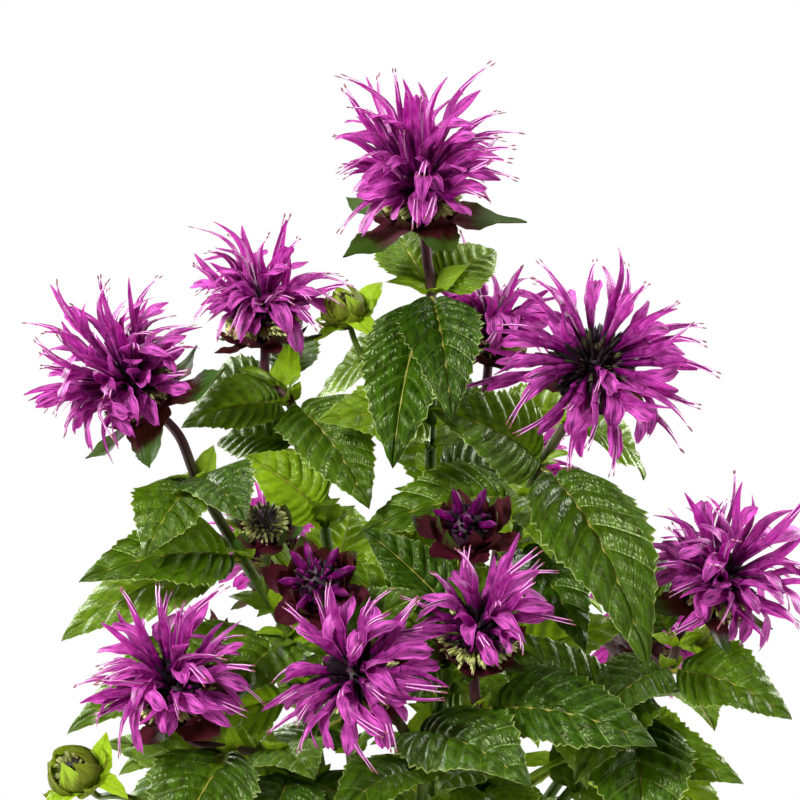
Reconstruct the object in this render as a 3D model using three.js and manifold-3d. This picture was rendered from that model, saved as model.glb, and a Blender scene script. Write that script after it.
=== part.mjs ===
// Bee balm in a plain clay pot: square stems with toothed leaves in opposite pairs, each stem ending in a
// whorl of bracts that carries a head of two-lipped florets, or in a bud. Millimetres, +Z up, with the
// origin at the middle of the pot's underside. The plant faces -Y.
import * as THREE from "three";
import { mergeVertices } from "three/addons/utils/BufferGeometryUtils.js";
import Module from "manifold-3d";

const wasm = await Module();
wasm.setup();

// Clearance between pieces that touch
const GAP = 0.3;

// Pot: a thrown clay cone with a rim band, a flat foot and four drain holes
const POT_HEIGHT = 150;
const POT_FOOT_RADIUS = 60;
const POT_NECK_RADIUS = 82;
const RIM_HEIGHT = 32;
const RIM_RADIUS = 92;
const RIM_OVERHANG = 5;
const POT_WALL = 7;
const POT_FLOOR = 9;
const POT_EDGE = 1.5;
const POT_SIDES = 24;
const DRAIN_RADIUS = 5;
const DRAIN_RING = 34;
const DRAIN_COUNT = 4;
const DRAIN_SIDES = 6;

// Potting mix
const SOIL_TOP = 134;
const SOIL_CROWN = 5;
const SOIL_CLEARANCE = 0.4;

// Stems: four-sided, as in all the mint family
const STEM_ROOT = 100;
const STEM_COLLAR = 142;
const STEM_RADIUS = 2.6;
const STEM_TIP_RADIUS = 2;
const BRANCH_RADIUS = 1.6;
const STEM_STEPS = 2;
const HOLE_CLEARANCE = 0.7;
const NECK = 16;

// Leaves
const RIB_HALF = 0.8;
const PETIOLE_SHARE = 0.13;
const PETIOLE_HALF = 1;
const BLADE_PEAK = 0.62;
const LEAF_ARCH = 0.12;
const LEAF_CUP = 0.16;
const TOOTH_OUT = 1.08;
const TOOTH_IN = 0.9;
const TOOTH_LEAN = 0.3;
const TOOTH_LENGTH = 22;
const MIN_TEETH = 3;
const MAX_TEETH = 4;

// Room that a leaf keeps to what grows round it, and how it gives way to keep it
const LEAF_ROOM = 5.5;
const SPOT_ROWS = 10;
const FREE_SHARE = 0.34;
const BEND_STEP = 7;
const BEND_STEPS = 6;
const BEND_WAYS = 8;
const LOWEST_LEAF = 163;

// Leaves between the ones placed by hand, in pairs up each stem
const PAIR_LENGTH = [76, 50];
const PAIR_SLIMNESS = 0.48;
const PAIR_DROOP = 0.3;
const PAIR_TURN = 0.6;
const PAIR_ZONE = [168, 350];
const PAIR_STEP = 0.75;

// Heads, measured from the top of the stem along the head's axis
const CUP_HEIGHT = 5;
const CUP_RADIUS = 8;
const CUP_FOOT = 2.6;
const DOME_CENTRE = 6;
const DOME_RADIUS = 9.5;
const GOLDEN_TURN = Math.PI * (3 - Math.sqrt(5));
const FLORET_VARIATION = 0.16;
const THROAT = 0.56;
const LIP_HALF = 4;

// Bracts: their seat up the cup and out from its axis, and their form as shares of their length, outward and
// along the axis. An open head's spread out, and a bud's close up round it.
const BRACT_COUNT = 5;
const BRACT_RIB = 0.7;
const BRACT_HALF = 0.28;
const BRACT_FOLD = 0.06;
const BRACT_SHORT = 0.85;
const BRACT_SEAT = 3.75;
const BRACT_ROOT = 4.5;
const BRACT_ROOT_HALF = 2.4;
const BRACT_OPEN = { middle: [0.55, -0.1], tip: [1, -0.02] };
const BRACT_CLOSED = { middle: [0.5, 0.22], tip: [0.62, 0.8] };

// The room that a floret takes: how far along it and up from its line, as shares of its reach, and how wide
const FLORET_ROOM = [[0.45, 0, 2], [0.62, 0, 3], [0.8, -0.04, 4], [0.94, -0.14, 3], [0.95, 0.06, 2]];

// Each stem: foot on the potting mix, then the points it passes through, then the head or bud it carries.
const STEMS = {
  crown: { foot: [6, 4], via: [[10, 3, 250], [13, 0, 370], [13, -5, 427]], head: "crown" },
  left: {
    foot: [-22, -4],
    via: [[-34, -14, 230], [-46, -20, 284], [-65, -25, 319], [-83, -26, 351]],
    head: "left",
  },
  high_left: { foot: [-14, 12], via: [[-22, 12, 240], [-33, 8, 333], [-46, 8, 380]], head: "high_left" },
  shaded: { foot: [16, 18], via: [[24, 26, 240], [36, 36, 320], [40, 44, 362]], head: "shaded" },
  wheel: { foot: [26, -6], via: [[36, -6, 240], [48, -2, 320], [59, -2, 355]], head: "wheel" },
  right: {
    foot: [38, 2],
    via: [[58, -4, 195], [84, -12, 232], [97, -16, 251], [112, -20, 271]],
    head: "right",
  },
  low_left: {
    foot: [-22, -24],
    via: [[-30, -42, 190], [-41, -55, 225], [-50, -60, 243]],
    head: "low_left",
  },
  low_front: { foot: [0, -34], via: [[4, -48, 190], [9, -58, 235]], head: "low_front" },
  low_right: { foot: [16, -26], via: [[26, -40, 200], [33, -56, 248]], head: "low_right" },
  star: { foot: [-8, -16], via: [[-18, -30, 230], [-28, -38, 282]], head: "star" },
  plum: { foot: [6, -10], via: [[14, -20, 240], [24, -34, 296]], head: "plum" },
  back_left: { foot: [-20, 28], via: [[-38, 56, 210], [-48, 80, 255]], head: "back_left" },
  back: { foot: [14, 36], via: [[24, 62, 220], [40, 88, 285]], head: "back" },
  back_right: { foot: [30, 22], via: [[58, 44, 190], [88, 62, 230]], head: "back_right" },
  side: { foot: [-36, 14], via: [[-56, 36, 190], [-76, 52, 235]], head: "side" },
};

// Side shoots: the stem each grows on, the place on it counted in that stem's points, and its own points.
const BRANCHES = [
  { stem: "left", from: 3.5, via: [[-56, -28, 312]], head: "green" },
  { stem: "crown", from: 3, via: [[-2, 8, 381], [-13, 14, 393]], head: "young" },
  { stem: "low_left", from: 3.5, via: [[-90, -62, 224], [-115, -62, 228]], head: "outer" },
  { stem: "right", from: 4.5, via: [[118, -6, 260]], head: "small" },
];

// Each head: where its cup meets the stem, the way it faces, its florets, their reach to the side and how
// much further the ones at the top reach, their spread from the axis in degrees and the length of its
// bracts. A head with buds instead of florets is not open yet.
const HEADS = {
  crown: {
    at: [10, -12, 458], faces: [-0.08, -0.3, 0.95],
    florets: 19, reach: 33, rise: 0.88, spread: [4, 74], bract: 38,
  },
  left: {
    at: [-101, -25, 382], faces: [-0.6, -0.32, 0.74],
    florets: 18, reach: 37, rise: 0.6, spread: [6, 78], bract: 36,
  },
  high_left: {
    at: [-57, 10, 404], faces: [-0.05, -0.15, 0.98],
    florets: 15, reach: 32, rise: 0.45, spread: [8, 78], bract: 20,
  },
  shaded: {
    at: [38, 44, 392], faces: [0.05, -0.1, 0.99],
    florets: 12, reach: 34, rise: 0.3, spread: [12, 80], bract: 20,
  },
  wheel: {
    at: [79, -14, 394], faces: [0.05, -0.87, 0.5],
    florets: 18, reach: 50, rise: 0, spread: [46, 86], bract: 24,
  },
  right: {
    at: [126, -20, 300], faces: [0.42, -0.45, 0.7],
    florets: 16, reach: 40, rise: 0.3, spread: [20, 86], bract: 28,
  },
  low_left: {
    at: [-88, -72, 265], faces: [-0.25, -0.45, 0.82],
    florets: 16, reach: 37, rise: 0.3, spread: [15, 86], bract: 28,
  },
  low_front: {
    at: [-12, -88, 279], faces: [-0.38, -0.78, 0.5],
    florets: 15, reach: 40, rise: 0, spread: [30, 86], bract: 20,
  },
  low_right: {
    at: [31, -72, 288], faces: [0.05, -0.5, 0.85],
    florets: 8, reach: 34, rise: 0.3, spread: [12, 62], bract: 19,
  },
  back_left: {
    at: [-50, 92, 285], faces: [-0.25, 0.6, 0.75],
    florets: 13, reach: 34, rise: 0.4, spread: [12, 85], bract: 24,
  },
  back: {
    at: [46, 98, 318], faces: [0.15, 0.6, 0.78],
    florets: 14, reach: 35, rise: 0.5, spread: [12, 85], bract: 24,
  },
  back_right: {
    at: [100, 72, 256], faces: [0.55, 0.5, 0.66],
    florets: 13, reach: 34, rise: 0.4, spread: [12, 85], bract: 24,
  },
  star: { at: [-34, -56, 311], faces: [0, -0.8, 0.6], buds: 9, size: 10, bract: 19 },
  plum: { at: [28, -50, 330], faces: [-0.05, -0.5, 0.86], buds: 6, size: 10, bract: 19 },
  green: { at: [-55, -38, 330], faces: [-0.05, -0.55, 0.83], buds: 0, size: 9, bract: 15 },
  young: { at: [-21, 15, 412], faces: [-0.3, -0.2, 0.93], buds: 0, size: 8, bract: 14 },
  outer: { at: [-128, -60, 232], faces: [-0.5, -0.5, 0.7], buds: 0, size: 9, bract: 18 },
  small: { at: [131, 0, 272], faces: [0.2, -0.2, 0.95], buds: 0, size: 7, bract: 13 },
  side: { at: [-88, 62, 258], faces: [-0.5, 0.4, 0.75], buds: 5, size: 10, bract: 19 },
};

// Leaves placed by hand: the stem, the place on it counted in the stem's points, tip, width, and how far the
// leaf turns its face to the front.
const LEAVES = [
  ["crown", 4, [-4, -50, 362], 40, 0.3],
  ["wheel", 4, [112, -64, 280], 46, 0.5],
  ["high_left", 4, [-12, -38, 344], 40, 0.6],
  ["low_left", 4.5, [-94, -114, 218], 46, 0.4],
  ["low_front", 3.4, [56, -120, 252], 48, 0.5],
  ["low_right", 3.5, [104, -88, 256], 42, 0.7],
  ["right", 4, [100, -84, 204], 46, 0.3],
  ["left", 5, [-88, -62, 318], 36, 0.4],
  ["left", 5, [-62, -66, 328], 34, 0.6],
  ["wheel", 4, [14, -30, 386], 40, 0.8],
  ["right", 5, [166, -38, 258], 34, 0.8],
  ["crown", 4, [36, -44, 376], 34, 0.5],
  ["crown", 4, [42, 20, 446], 27, 0.8],
  ["crown", 4, [-24, 10, 450], 29, 0.8],
  ["left", 4, [-140, -34, 282], 36, 0.9],
  ["left", 4, [-107, -60, 286], 36, 0.8],
  ["high_left", 4, [-88, -14, 384], 28, 0.9],
  ["high_left", 4.5, [-94, 24, 396], 28, 0.9],
  ["high_left", 4.3, [-36, 44, 434], 26, 0.8],
  ["right", 5, [78, -56, 258], 32, 0.5],
  ["right", 5.5, [106, 14, 334], 28, 0.6],
  ["right", 4, [128, 20, 204], 36, 0.8],
  ["right", 3.5, [58, -54, 310], 38, 0.6],
  ["crown", 3.5, [-50, 26, 394], 29, 0.9],
  ["crown", 3, [-34, -36, 380], 34, 0.8],
  ["left", 3, [-72, -60, 272], 34, 0.6],
  ["left", 3, [-142, -46, 264], 36, 0.9],
  ["left", 2.5, [-118, -26, 228], 34, 0.9],
  ["high_left", 3.5, [-80, 34, 360], 29, 0.8],
  ["high_left", 3, [-64, -8, 362], 33, 0.9],
  ["shaded", 3.5, [2, 66, 404], 30, 0.6],
  ["shaded", 4, [96, 70, 370], 34, 0.5],
  ["wheel", 3.5, [-6, -44, 352], 34, 0.8],
  ["wheel", 4.5, [108, 18, 348], 32, 0.6],
  ["wheel", 3, [76, -60, 288], 34, 0.5],
  ["low_left", 4, [-34, -104, 246], 32, 0.6],
  ["low_left", 3.5, [-58, -114, 214], 40, 0.5],
  ["low_front", 3, [-28, -112, 232], 32, 0.5],
  ["plum", 2.3, [36, -66, 250], 34, 0.6],
  ["star", 3, [-8, -60, 324], 32, 0.8],
  ["plum", 3, [58, -36, 322], 32, 0.9],
  ["plum", 3, [-2, -70, 310], 32, 0.8],
  ["crown", 2.4, [28, -34, 262], 36, 0.7],
  ["plum", 2.5, [-20, -82, 250], 36, 0.6],
  ["low_right", 2.5, [52, -104, 214], 36, 0.4],
  ["star", 2.4, [-62, -58, 214], 32, 0.5],
  ["wheel", 2.5, [92, -56, 244], 38, 0.5],
  ["plum", 3, [48, -20, 348], 28, 0.8],
  ["wheel", 2.3, [84, -30, 268], 34, 0.7],
  ["crown", 2.7, [-10, -36, 300], 32, 0.7],
  ["low_right", 2.6, [14, -90, 226], 30, 0.6],
  ["right", 3, [104, -62, 246], 34, 0.7],
  ["shaded", 3.2, [-14, 50, 372], 34, 0.6],
  ["high_left", 2.6, [-20, 44, 332], 32, 0.6],
  ["crown", 2.8, [66, 20, 330], 34, 0.6],
  ["low_left", 2.6, [-112, -44, 222], 34, 0.7],
  ["low_left", 3, [-126, -34, 246], 32, 0.8],
  ["plum", 2.6, [-26, -10, 322], 30, 0.7],
];

const SHADES = {
  clay: { color: 0xb5623f, roughness: 0.85 },
  soil: { color: 0x35261c, roughness: 0.95 },
  leaf: { color: 0x3f6b2a, roughness: 0.5 },
  floret: { color: 0xb02fae, roughness: 0.5 },
  bract: { color: 0x4a1c30, roughness: 0.6 },
  plum_bud: { color: 0x5a2140, roughness: 0.6 },
  green_bud: { color: 0x6f8038, roughness: 0.6 },
};

const vec = (p) => new THREE.Vector3(p[0], p[1], p[2]);
const lerp = (a, b, share) => a + (b - a) * share;
const radians = THREE.MathUtils.degToRad;
const UP = new THREE.Vector3(0, 0, 1);

// A closed mesh as a solid that can be joined and cut.
function solid(points, triangles) {
  const positions = new Float32Array(points.flatMap((p) => [p.x, p.y, p.z]));
  return new wasm.Manifold(
    new wasm.Mesh({ numProp: 3, vertProperties: positions, triVerts: new Uint32Array(triangles) }),
  );
}

function solidFromGeometry(geometry) {
  const bare = geometry.clone();
  bare.deleteAttribute("normal");
  bare.deleteAttribute("uv");
  const merged = mergeVertices(bare, 1e-3);
  const index = merged.index.array;
  const kept = [];
  for (let i = 0; i < index.length; i += 3) {
    const [a, b, c] = index.slice(i, i + 3);
    if (a !== b && b !== c && a !== c) kept.push(a, b, c);
  }
  const vertProperties = merged.attributes.position.array;
  return new wasm.Manifold(new wasm.Mesh({ numProp: 3, vertProperties, triVerts: new Uint32Array(kept) }));
}

function join(solids) {
  return solids.reduce((whole, next) => whole.add(next));
}

function meshOf(name, shape, shade) {
  const { vertProperties, triVerts, numProp } = shape.getMesh();
  const positions = new Float32Array((vertProperties.length / numProp) * 3);
  for (let i = 0; i < positions.length / 3; i++) {
    for (let k = 0; k < 3; k++) positions[3 * i + k] = vertProperties[numProp * i + k];
  }
  const geometry = new THREE.BufferGeometry();
  geometry.setAttribute("position", new THREE.BufferAttribute(positions, 3));
  geometry.setIndex(new THREE.BufferAttribute(new Uint32Array(triVerts), 1));
  const mesh = new THREE.Mesh(geometry, new THREE.MeshStandardMaterial({ ...SHADES[shade], metalness: 0 }));
  mesh.name = name;
  return mesh;
}

// Skins a row of rings of equal count, each counter-clockwise about the way the row runs. The last may be
// a single point, the tip.
function loft(rings) {
  const points = rings.flat();
  const sides = rings[0].length;
  const triangles = [];
  for (let i = 1; i + 1 < sides; i++) triangles.push(0, i + 1, i);
  for (let k = 0; k + 1 < rings.length; k++) {
    const start = k * sides;
    const tip = rings[k + 1].length === 1;
    for (let i = 0; i < sides; i++) {
      const j = (i + 1) % sides;
      if (tip) {
        triangles.push(start + i, start + j, start + sides);
      } else {
        triangles.push(start + i, start + j, start + sides + j);
        triangles.push(start + i, start + sides + j, start + sides + i);
      }
    }
  }
  const last = points.length - sides;
  if (rings.at(-1).length > 1) {
    for (let i = 1; i + 1 < sides; i++) triangles.push(last, last + i, last + i + 1);
  }
  return solid(points, triangles);
}

// A blade, thick along its rib and sharp at its edges. The rib's points are pairs, upper and lower, and its
// last is the tip. The steps say which of rib and edge goes one point further: R or E.
function blade(ribs, tip, edges, steps) {
  const points = [...ribs.flat(), tip, ...edges.flat()];
  const triangles = [];
  [0, 1].forEach((isLower) => {
    edges.forEach((edge, isLeft) => {
      const start = 2 * ribs.length + 1 + (isLeft ? edges[0].length : 0);
      const rib = (i) => (i < ribs.length ? 2 * i + isLower : 2 * ribs.length);
      const add = (x, y, z) => triangles.push(x, ...(isLower ^ isLeft ? [z, y] : [y, z]));
      let [r, e] = [0, 0];
      for (const step of steps) {
        if (step === "E") add(rib(r), start + e, start + ++e);
        else add(rib(r), start + e, rib(++r));
      }
    });
  });
  const [upper, lower, right, left] = [0, 1, 2 * ribs.length + 1, 2 * ribs.length + 1 + edges[0].length];
  triangles.push(left, right, upper, left, lower, right);
  return solid(points, triangles);
}

// A smooth curve through points, one unit of its parameter from each point to the next.
function smoothPoint(points, at) {
  const last = points.length - 1;
  const k = Math.min(Math.floor(at), last - 1);
  const t = at - k;
  const p1 = points[k];
  const p2 = points[k + 1];
  const p0 = k > 0 ? points[k - 1] : p1.clone().multiplyScalar(2).sub(p2);
  const p3 = k + 2 <= last ? points[k + 2] : p2.clone().multiplyScalar(2).sub(p1);
  const blend = (a, b, c, d) =>
    0.5 * (2 * b + (c - a) * t + (2 * a - 5 * b + 4 * c - d) * t * t + (3 * b - a - 3 * c + d) * t * t * t);
  return new THREE.Vector3(
    blend(p0.x, p1.x, p2.x, p3.x),
    blend(p0.y, p1.y, p2.y, p3.y),
    blend(p0.z, p1.z, p2.z, p3.z),
  );
}

function walk(points, steps, start = 0) {
  const count = (points.length - 1 - start) * steps;
  return Array.from({ length: count + 1 }, (_, i) => smoothPoint(points, start + i / steps));
}

// Two directions square to the given one, the first as level as can be.
function across(direction) {
  const helper = Math.abs(direction.z) > 0.95 ? new THREE.Vector3(0, -1, 0) : new THREE.Vector3(0, 0, 1);
  const first = new THREE.Vector3().crossVectors(helper, direction).normalize();
  return [first, new THREE.Vector3().crossVectors(direction, first)];
}

function ring(centre, first, second, radius, sides) {
  return Array.from({ length: sides }, (_, i) => {
    const angle = (2 * Math.PI * i) / sides;
    return centre
      .clone()
      .addScaledVector(first, radius * Math.cos(angle))
      .addScaledVector(second, radius * Math.sin(angle));
  });
}

// A four-sided stem along points, its square carried along without twist, cut off square to its end.
function stalk(points, radii, end) {
  let first = null;
  return loft(
    points.map((p, i) => {
      const before = points[Math.max(0, i - 1)];
      const after = points[Math.min(points.length - 1, i + 1)];
      const direction = i < points.length - 1 ? after.clone().sub(before).normalize() : end;
      if (first) first.addScaledVector(direction, -first.dot(direction)).normalize();
      else first = across(direction)[0];
      return ring(p, first, new THREE.Vector3().crossVectors(direction, first), radii[i], 4);
    }),
  );
}

function headFrame(name) {
  const head = HEADS[name];
  const axis = vec(head.faces).normalize();
  const [first, second] = across(axis);
  const at = vec(head.at);
  return { head, axis, first, second, at, along: (s) => at.clone().addScaledVector(axis, s) };
}

function stemPoints(name) {
  const { foot, via, head } = STEMS[name];
  const { at, along } = headFrame(head);
  return [vec([...foot, STEM_ROOT]), vec([...foot, STEM_COLLAR]), ...via.map(vec), along(-NECK), at];
}

function branchPoints({ stem, from, via, head }) {
  const { at, along } = headFrame(head);
  return [smoothPoint(stemPoints(stem), from), ...via.map(vec), along(-NECK / 2), at];
}

// The way each floret of a head grows, spread evenly over the dome by the golden angle.
function floretFrames(name) {
  const { head, axis, first, second, along } = headFrame(name);
  if (!head.florets) return [];
  const centre = along(CUP_HEIGHT + GAP + DOME_CENTRE);
  const [low, high] = head.spread.map((angle) => Math.cos(radians(angle)));
  return Array.from({ length: head.florets }, (_, i) => {
    const cos = lerp(low, high, (i + 0.5) / head.florets);
    const sin = Math.sqrt(1 - cos * cos);
    const turn = i * GOLDEN_TURN;
    const radial = first.clone().multiplyScalar(Math.cos(turn)).addScaledVector(second, Math.sin(turn));
    const direction = axis.clone().multiplyScalar(cos).addScaledVector(radial, sin);
    const up = axis.clone().multiplyScalar(sin).addScaledVector(radial, -cos);
    const reach = head.reach * (1 + head.rise * cos * cos) * (1 - (FLORET_VARIATION * ((i * 2) % 5)) / 4);
    return { centre, direction, up, side: new THREE.Vector3().crossVectors(direction, up), reach };
  });
}

// A floret: a tube that widens from the dome's middle to the throat, a narrow upper lip that arches and a
// broad lower lip that hangs.
function floretSolid({ centre, direction, up, side, reach }) {
  const at = (out, rise, aside) =>
    centre.clone().addScaledVector(direction, out).addScaledVector(up, rise).addScaledVector(side, aside);
  const points = [
    centre,
    at(THROAT * reach, 2, 0),
    at(THROAT * reach, 0, 2),
    at(THROAT * reach, -1.6, 0),
    at(THROAT * reach, 0, -2),
    at((THROAT + 0.04) * reach, 0, 0),
    at(reach, 0.1 * reach, 0),
    at(0.78 * reach, -0.05 * reach, LIP_HALF),
    at(0.78 * reach, -0.05 * reach, -LIP_HALF),
    at(0.96 * reach, -0.18 * reach, 0),
  ];
  const [root, top, left, under, right, inner, upper, wideLeft, wideRight, lower] = points.keys();
  return solid(points, [
    ...[root, left, top, root, under, left, root, right, under, root, top, right],
    ...[top, left, upper, left, inner, upper, inner, right, upper, right, top, upper],
    ...[inner, left, wideLeft, inner, wideLeft, lower, inner, lower, wideRight, inner, wideRight, right],
    ...[left, under, wideLeft, under, lower, wideLeft, under, wideRight, lower, under, right, wideRight],
  ]);
}

// The cup at the top of a stem that the bracts grow from, and the packed calyces that the florets grow from.
function cupRings({ along, first, second }) {
  const rings = [[GAP, CUP_FOOT], [CUP_HEIGHT / 2, 0.8 * CUP_RADIUS], [CUP_HEIGHT, CUP_RADIUS]];
  return rings.map(([rise, wide]) => ring(along(rise), first, second, wide, BRACT_COUNT));
}

function domeRings({ along, first, second }, start, size) {
  const rings = [[0, 0.75], [0.5, 1], [1.15, 0.75]].map(([rise, wide]) =>
    ring(along(start + rise * size), first, second, wide * size, BRACT_COUNT),
  );
  return [...rings, [along(start + 1.5 * size)]];
}

// A whorl of bracts round a cup: each a pointed blade folded along its rib.
function bractFrames(name) {
  const { head, first, second } = headFrame(name);
  const form = head.florets ? BRACT_OPEN : BRACT_CLOSED;
  return Array.from({ length: BRACT_COUNT }, (_, i) => {
    const turn = (2 * Math.PI * (i + 0.5)) / BRACT_COUNT;
    const length = head.bract * (i % 2 ? BRACT_SHORT : 1);
    return {
      form,
      length,
      radial: first.clone().multiplyScalar(Math.cos(turn)).addScaledVector(second, Math.sin(turn)),
      tangent: second.clone().multiplyScalar(Math.cos(turn)).addScaledVector(first, -Math.sin(turn)),
    };
  });
}

function bractPoint({ along, axis }, { radial, tangent, length }, [out, rise], aside) {
  return along(BRACT_SEAT)
    .addScaledVector(radial, BRACT_ROOT + out * length)
    .addScaledVector(axis, rise * length)
    .addScaledVector(tangent, aside);
}

function bractSolid(frame, bract) {
  const { middle, tip } = bract.form;
  const half = BRACT_HALF * bract.length;
  const point = (place, rise, aside) =>
    bractPoint(frame, bract, place, aside).addScaledVector(frame.axis, rise);
  const ribs = [[0, 0], middle].map((place) => [point(place, BRACT_RIB, 0), point(place, -BRACT_RIB, 0)]);
  const edges = [-1, 1].map((way) => [
    point([0, 0], 0, way * BRACT_ROOT_HALF),
    point(middle, BRACT_FOLD * bract.length, way * half),
  ]);
  return blade(ribs, point(tip, 0, 0), edges, "ERR");
}

// A bud: a dome inside closed bracts, with short closed florets standing out of it if it is about to open.
function budSolid(name) {
  const frame = headFrame(name);
  const { head, axis, first, second, along } = frame;
  const parts = [loft([...cupRings(frame), ...domeRings(frame, CUP_HEIGHT, head.size).slice(1)])];
  bractFrames(name).forEach((bract) => parts.push(bractSolid(frame, bract)));
  for (let i = 0; i < head.buds; i++) {
    const turn = i * GOLDEN_TURN;
    const lean = radians(lerp(15, 65, (i + 0.5) / head.buds));
    const radial = first.clone().multiplyScalar(Math.cos(turn)).addScaledVector(second, Math.sin(turn));
    const direction = axis.clone().multiplyScalar(Math.cos(lean)).addScaledVector(radial, Math.sin(lean));
    const [a, b] = across(direction);
    const root = along(CUP_HEIGHT + 0.5 * head.size);
    const middle = root.clone().addScaledVector(direction, 1.3 * head.size);
    const tip = root.clone().addScaledVector(direction, 1.7 * head.size);
    parts.push(loft([ring(root, a, b, 1, 3), ring(middle, a, b, 1.6, 3), [tip]]));
  }
  return join(parts);
}

// Half the width of a leaf at a share of its blade: widest a third of the way out, drawn to a point.
function bladeHalf(share, width) {
  return (width / 2) * Math.pow(Math.sin(Math.PI * Math.pow(share, BLADE_PEAK)), 0.9);
}

// A leaf's own frame: where it leaves the stem, its tip, the crest of its arch and the way it faces, which is
// up, outward and, as far as it turns to the light, to the front.
function leafFrame(root, tip, width, turn) {
  const chord = tip.clone().sub(root);
  const length = chord.length();
  const direction = chord.clone().normalize();
  const out = new THREE.Vector3(chord.x, chord.y, 0).normalize();
  const face = new THREE.Vector3(0.4 * out.x, 0.4 * out.y - turn, 0.8);
  face.addScaledVector(direction, -face.dot(direction)).normalize();
  const side = new THREE.Vector3().crossVectors(face, direction);
  const crest = root
    .clone()
    .addScaledVector(direction, 0.45 * length)
    .addScaledVector(face, 2 * LEAF_ARCH * length);
  return { root, tip, crest, direction, face, side, length, width };
}

// A point of the leaf: u from stem to tip, and a distance to the left of the rib.
function leafPoint(leaf, u, aside) {
  const p = leaf.root
    .clone()
    .multiplyScalar((1 - u) * (1 - u))
    .addScaledVector(leaf.crest, 2 * u * (1 - u))
    .addScaledVector(leaf.tip, u * u);
  const tangent = leaf.crest
    .clone()
    .sub(leaf.root)
    .multiplyScalar(1 - u)
    .addScaledVector(leaf.tip.clone().sub(leaf.crest), u)
    .normalize();
  const normal = leaf.face.clone().addScaledVector(tangent, -leaf.face.dot(tangent)).normalize();
  p.addScaledVector(leaf.side, aside).addScaledVector(normal, LEAF_CUP * Math.abs(aside));
  return { p, normal };
}

function leafSolid(leaf) {
  const teeth = Math.min(MAX_TEETH, Math.max(MIN_TEETH, Math.round(leaf.length / TOOTH_LENGTH)));
  const ribs = [0];
  for (let i = 0; i < teeth; i++) ribs.push(lerp(PETIOLE_SHARE, 1, i / teeth));
  const pairs = ribs.map((u) => {
    const { p, normal } = leafPoint(leaf, u, 0);
    return [1, -1].map((way) => p.clone().addScaledVector(normal, way * RIB_HALF));
  });
  const edges = [-1, 1].map((way) => {
    const row = [leafPoint(leaf, 0, way * PETIOLE_HALF).p];
    for (let j = 0; j < 2 * teeth; j++) {
      const point = j % 2 === 1;
      const share = (j + (point ? TOOTH_LEAN : 0)) / (2 * teeth);
      const half = Math.max(PETIOLE_HALF, bladeHalf(share, leaf.width) * (point ? TOOTH_OUT : TOOTH_IN));
      row.push(leafPoint(leaf, lerp(PETIOLE_SHARE, 1, share), way * half).p);
    }
    return row;
  });
  return blade(pairs, leaf.tip, edges, "ER" + "ERE".repeat(teeth - 1) + "ER");
}

// What a new leaf has to stay clear of: round spots, each with the stem whose leaves may come near it.
const spots = [];

function addSpot(p, radius, owner, near) {
  spots.push({ x: p.x, y: p.y, z: p.z, room: radius + LEAF_ROOM, other: owner, near });
}

function leafSpots(leaf) {
  const found = [];
  for (let i = 1; i <= SPOT_ROWS; i++) {
    const u = i / SPOT_ROWS;
    const half = bladeHalf(Math.max(0, (u - PETIOLE_SHARE) / (1 - PETIOLE_SHARE)), leaf.width);
    for (const share of [-1, -0.5, 0, 0.5, 1]) found.push([u, leafPoint(leaf, u, share * half).p]);
  }
  return found;
}

function hasRoom(leaf, owner) {
  return leafSpots(leaf).every(([u, p]) => {
    if (p.z < LOWEST_LEAF) return false;
    return spots.every(({ x, y, z, room, other, near }) => {
      const [dx, dy, dz] = [p.x - x, p.y - y, p.z - z];
      if (dx * dx + dy * dy + dz * dz > room * room) return true;
      return other === owner && (near || u < FREE_SHARE);
    });
  });
}

// Tries a leaf where it is wanted, then with its tip moved further and further round, then shorter.
function placeLeaf(owner, root, tip, width, turn) {
  for (const size of [1, 0.82]) {
    const near = root.clone().addScaledVector(tip.clone().sub(root), size);
    const start = leafFrame(root, near, width * size, turn);
    for (let step = 0; step <= BEND_STEPS; step++) {
      for (let way = 0; way < (step ? BEND_WAYS : 1); way++) {
        const round = (2 * Math.PI * way) / BEND_WAYS;
        const bent = near
          .clone()
          .addScaledVector(start.face, -Math.cos(round) * step * BEND_STEP)
          .addScaledVector(start.side, Math.sin(round) * step * BEND_STEP);
        const leaf = leafFrame(root, bent, width * size, turn);
        if (hasRoom(leaf, owner)) {
          leafSpots(leaf).forEach(([u, p]) => addSpot(p, 0.5, owner, u < FREE_SHARE));
          return [leaf];
        }
      }
    }
  }
  return [];
}

function markHead(name) {
  const frame = headFrame(name);
  const { head, along } = frame;
  addSpot(along(CUP_HEIGHT / 2), CUP_RADIUS, "", false);
  addSpot(along(CUP_HEIGHT + (head.size ?? DOME_RADIUS)), head.florets ? 12 : 1.5 * head.size, "", false);
  floretFrames(name).forEach(({ centre, direction, up, reach }) => {
    FLORET_ROOM.forEach(([out, rise, radius]) => {
      const p = centre.clone().addScaledVector(direction, out * reach).addScaledVector(up, rise * reach);
      addSpot(p, radius, "", false);
    });
  });
  bractFrames(name).forEach((bract) => {
    addSpot(bractPoint(frame, bract, bract.form.middle, 0), BRACT_HALF * bract.length, "", false);
    addSpot(bractPoint(frame, bract, bract.form.tip, 0), 2, "", false);
  });
}

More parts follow.
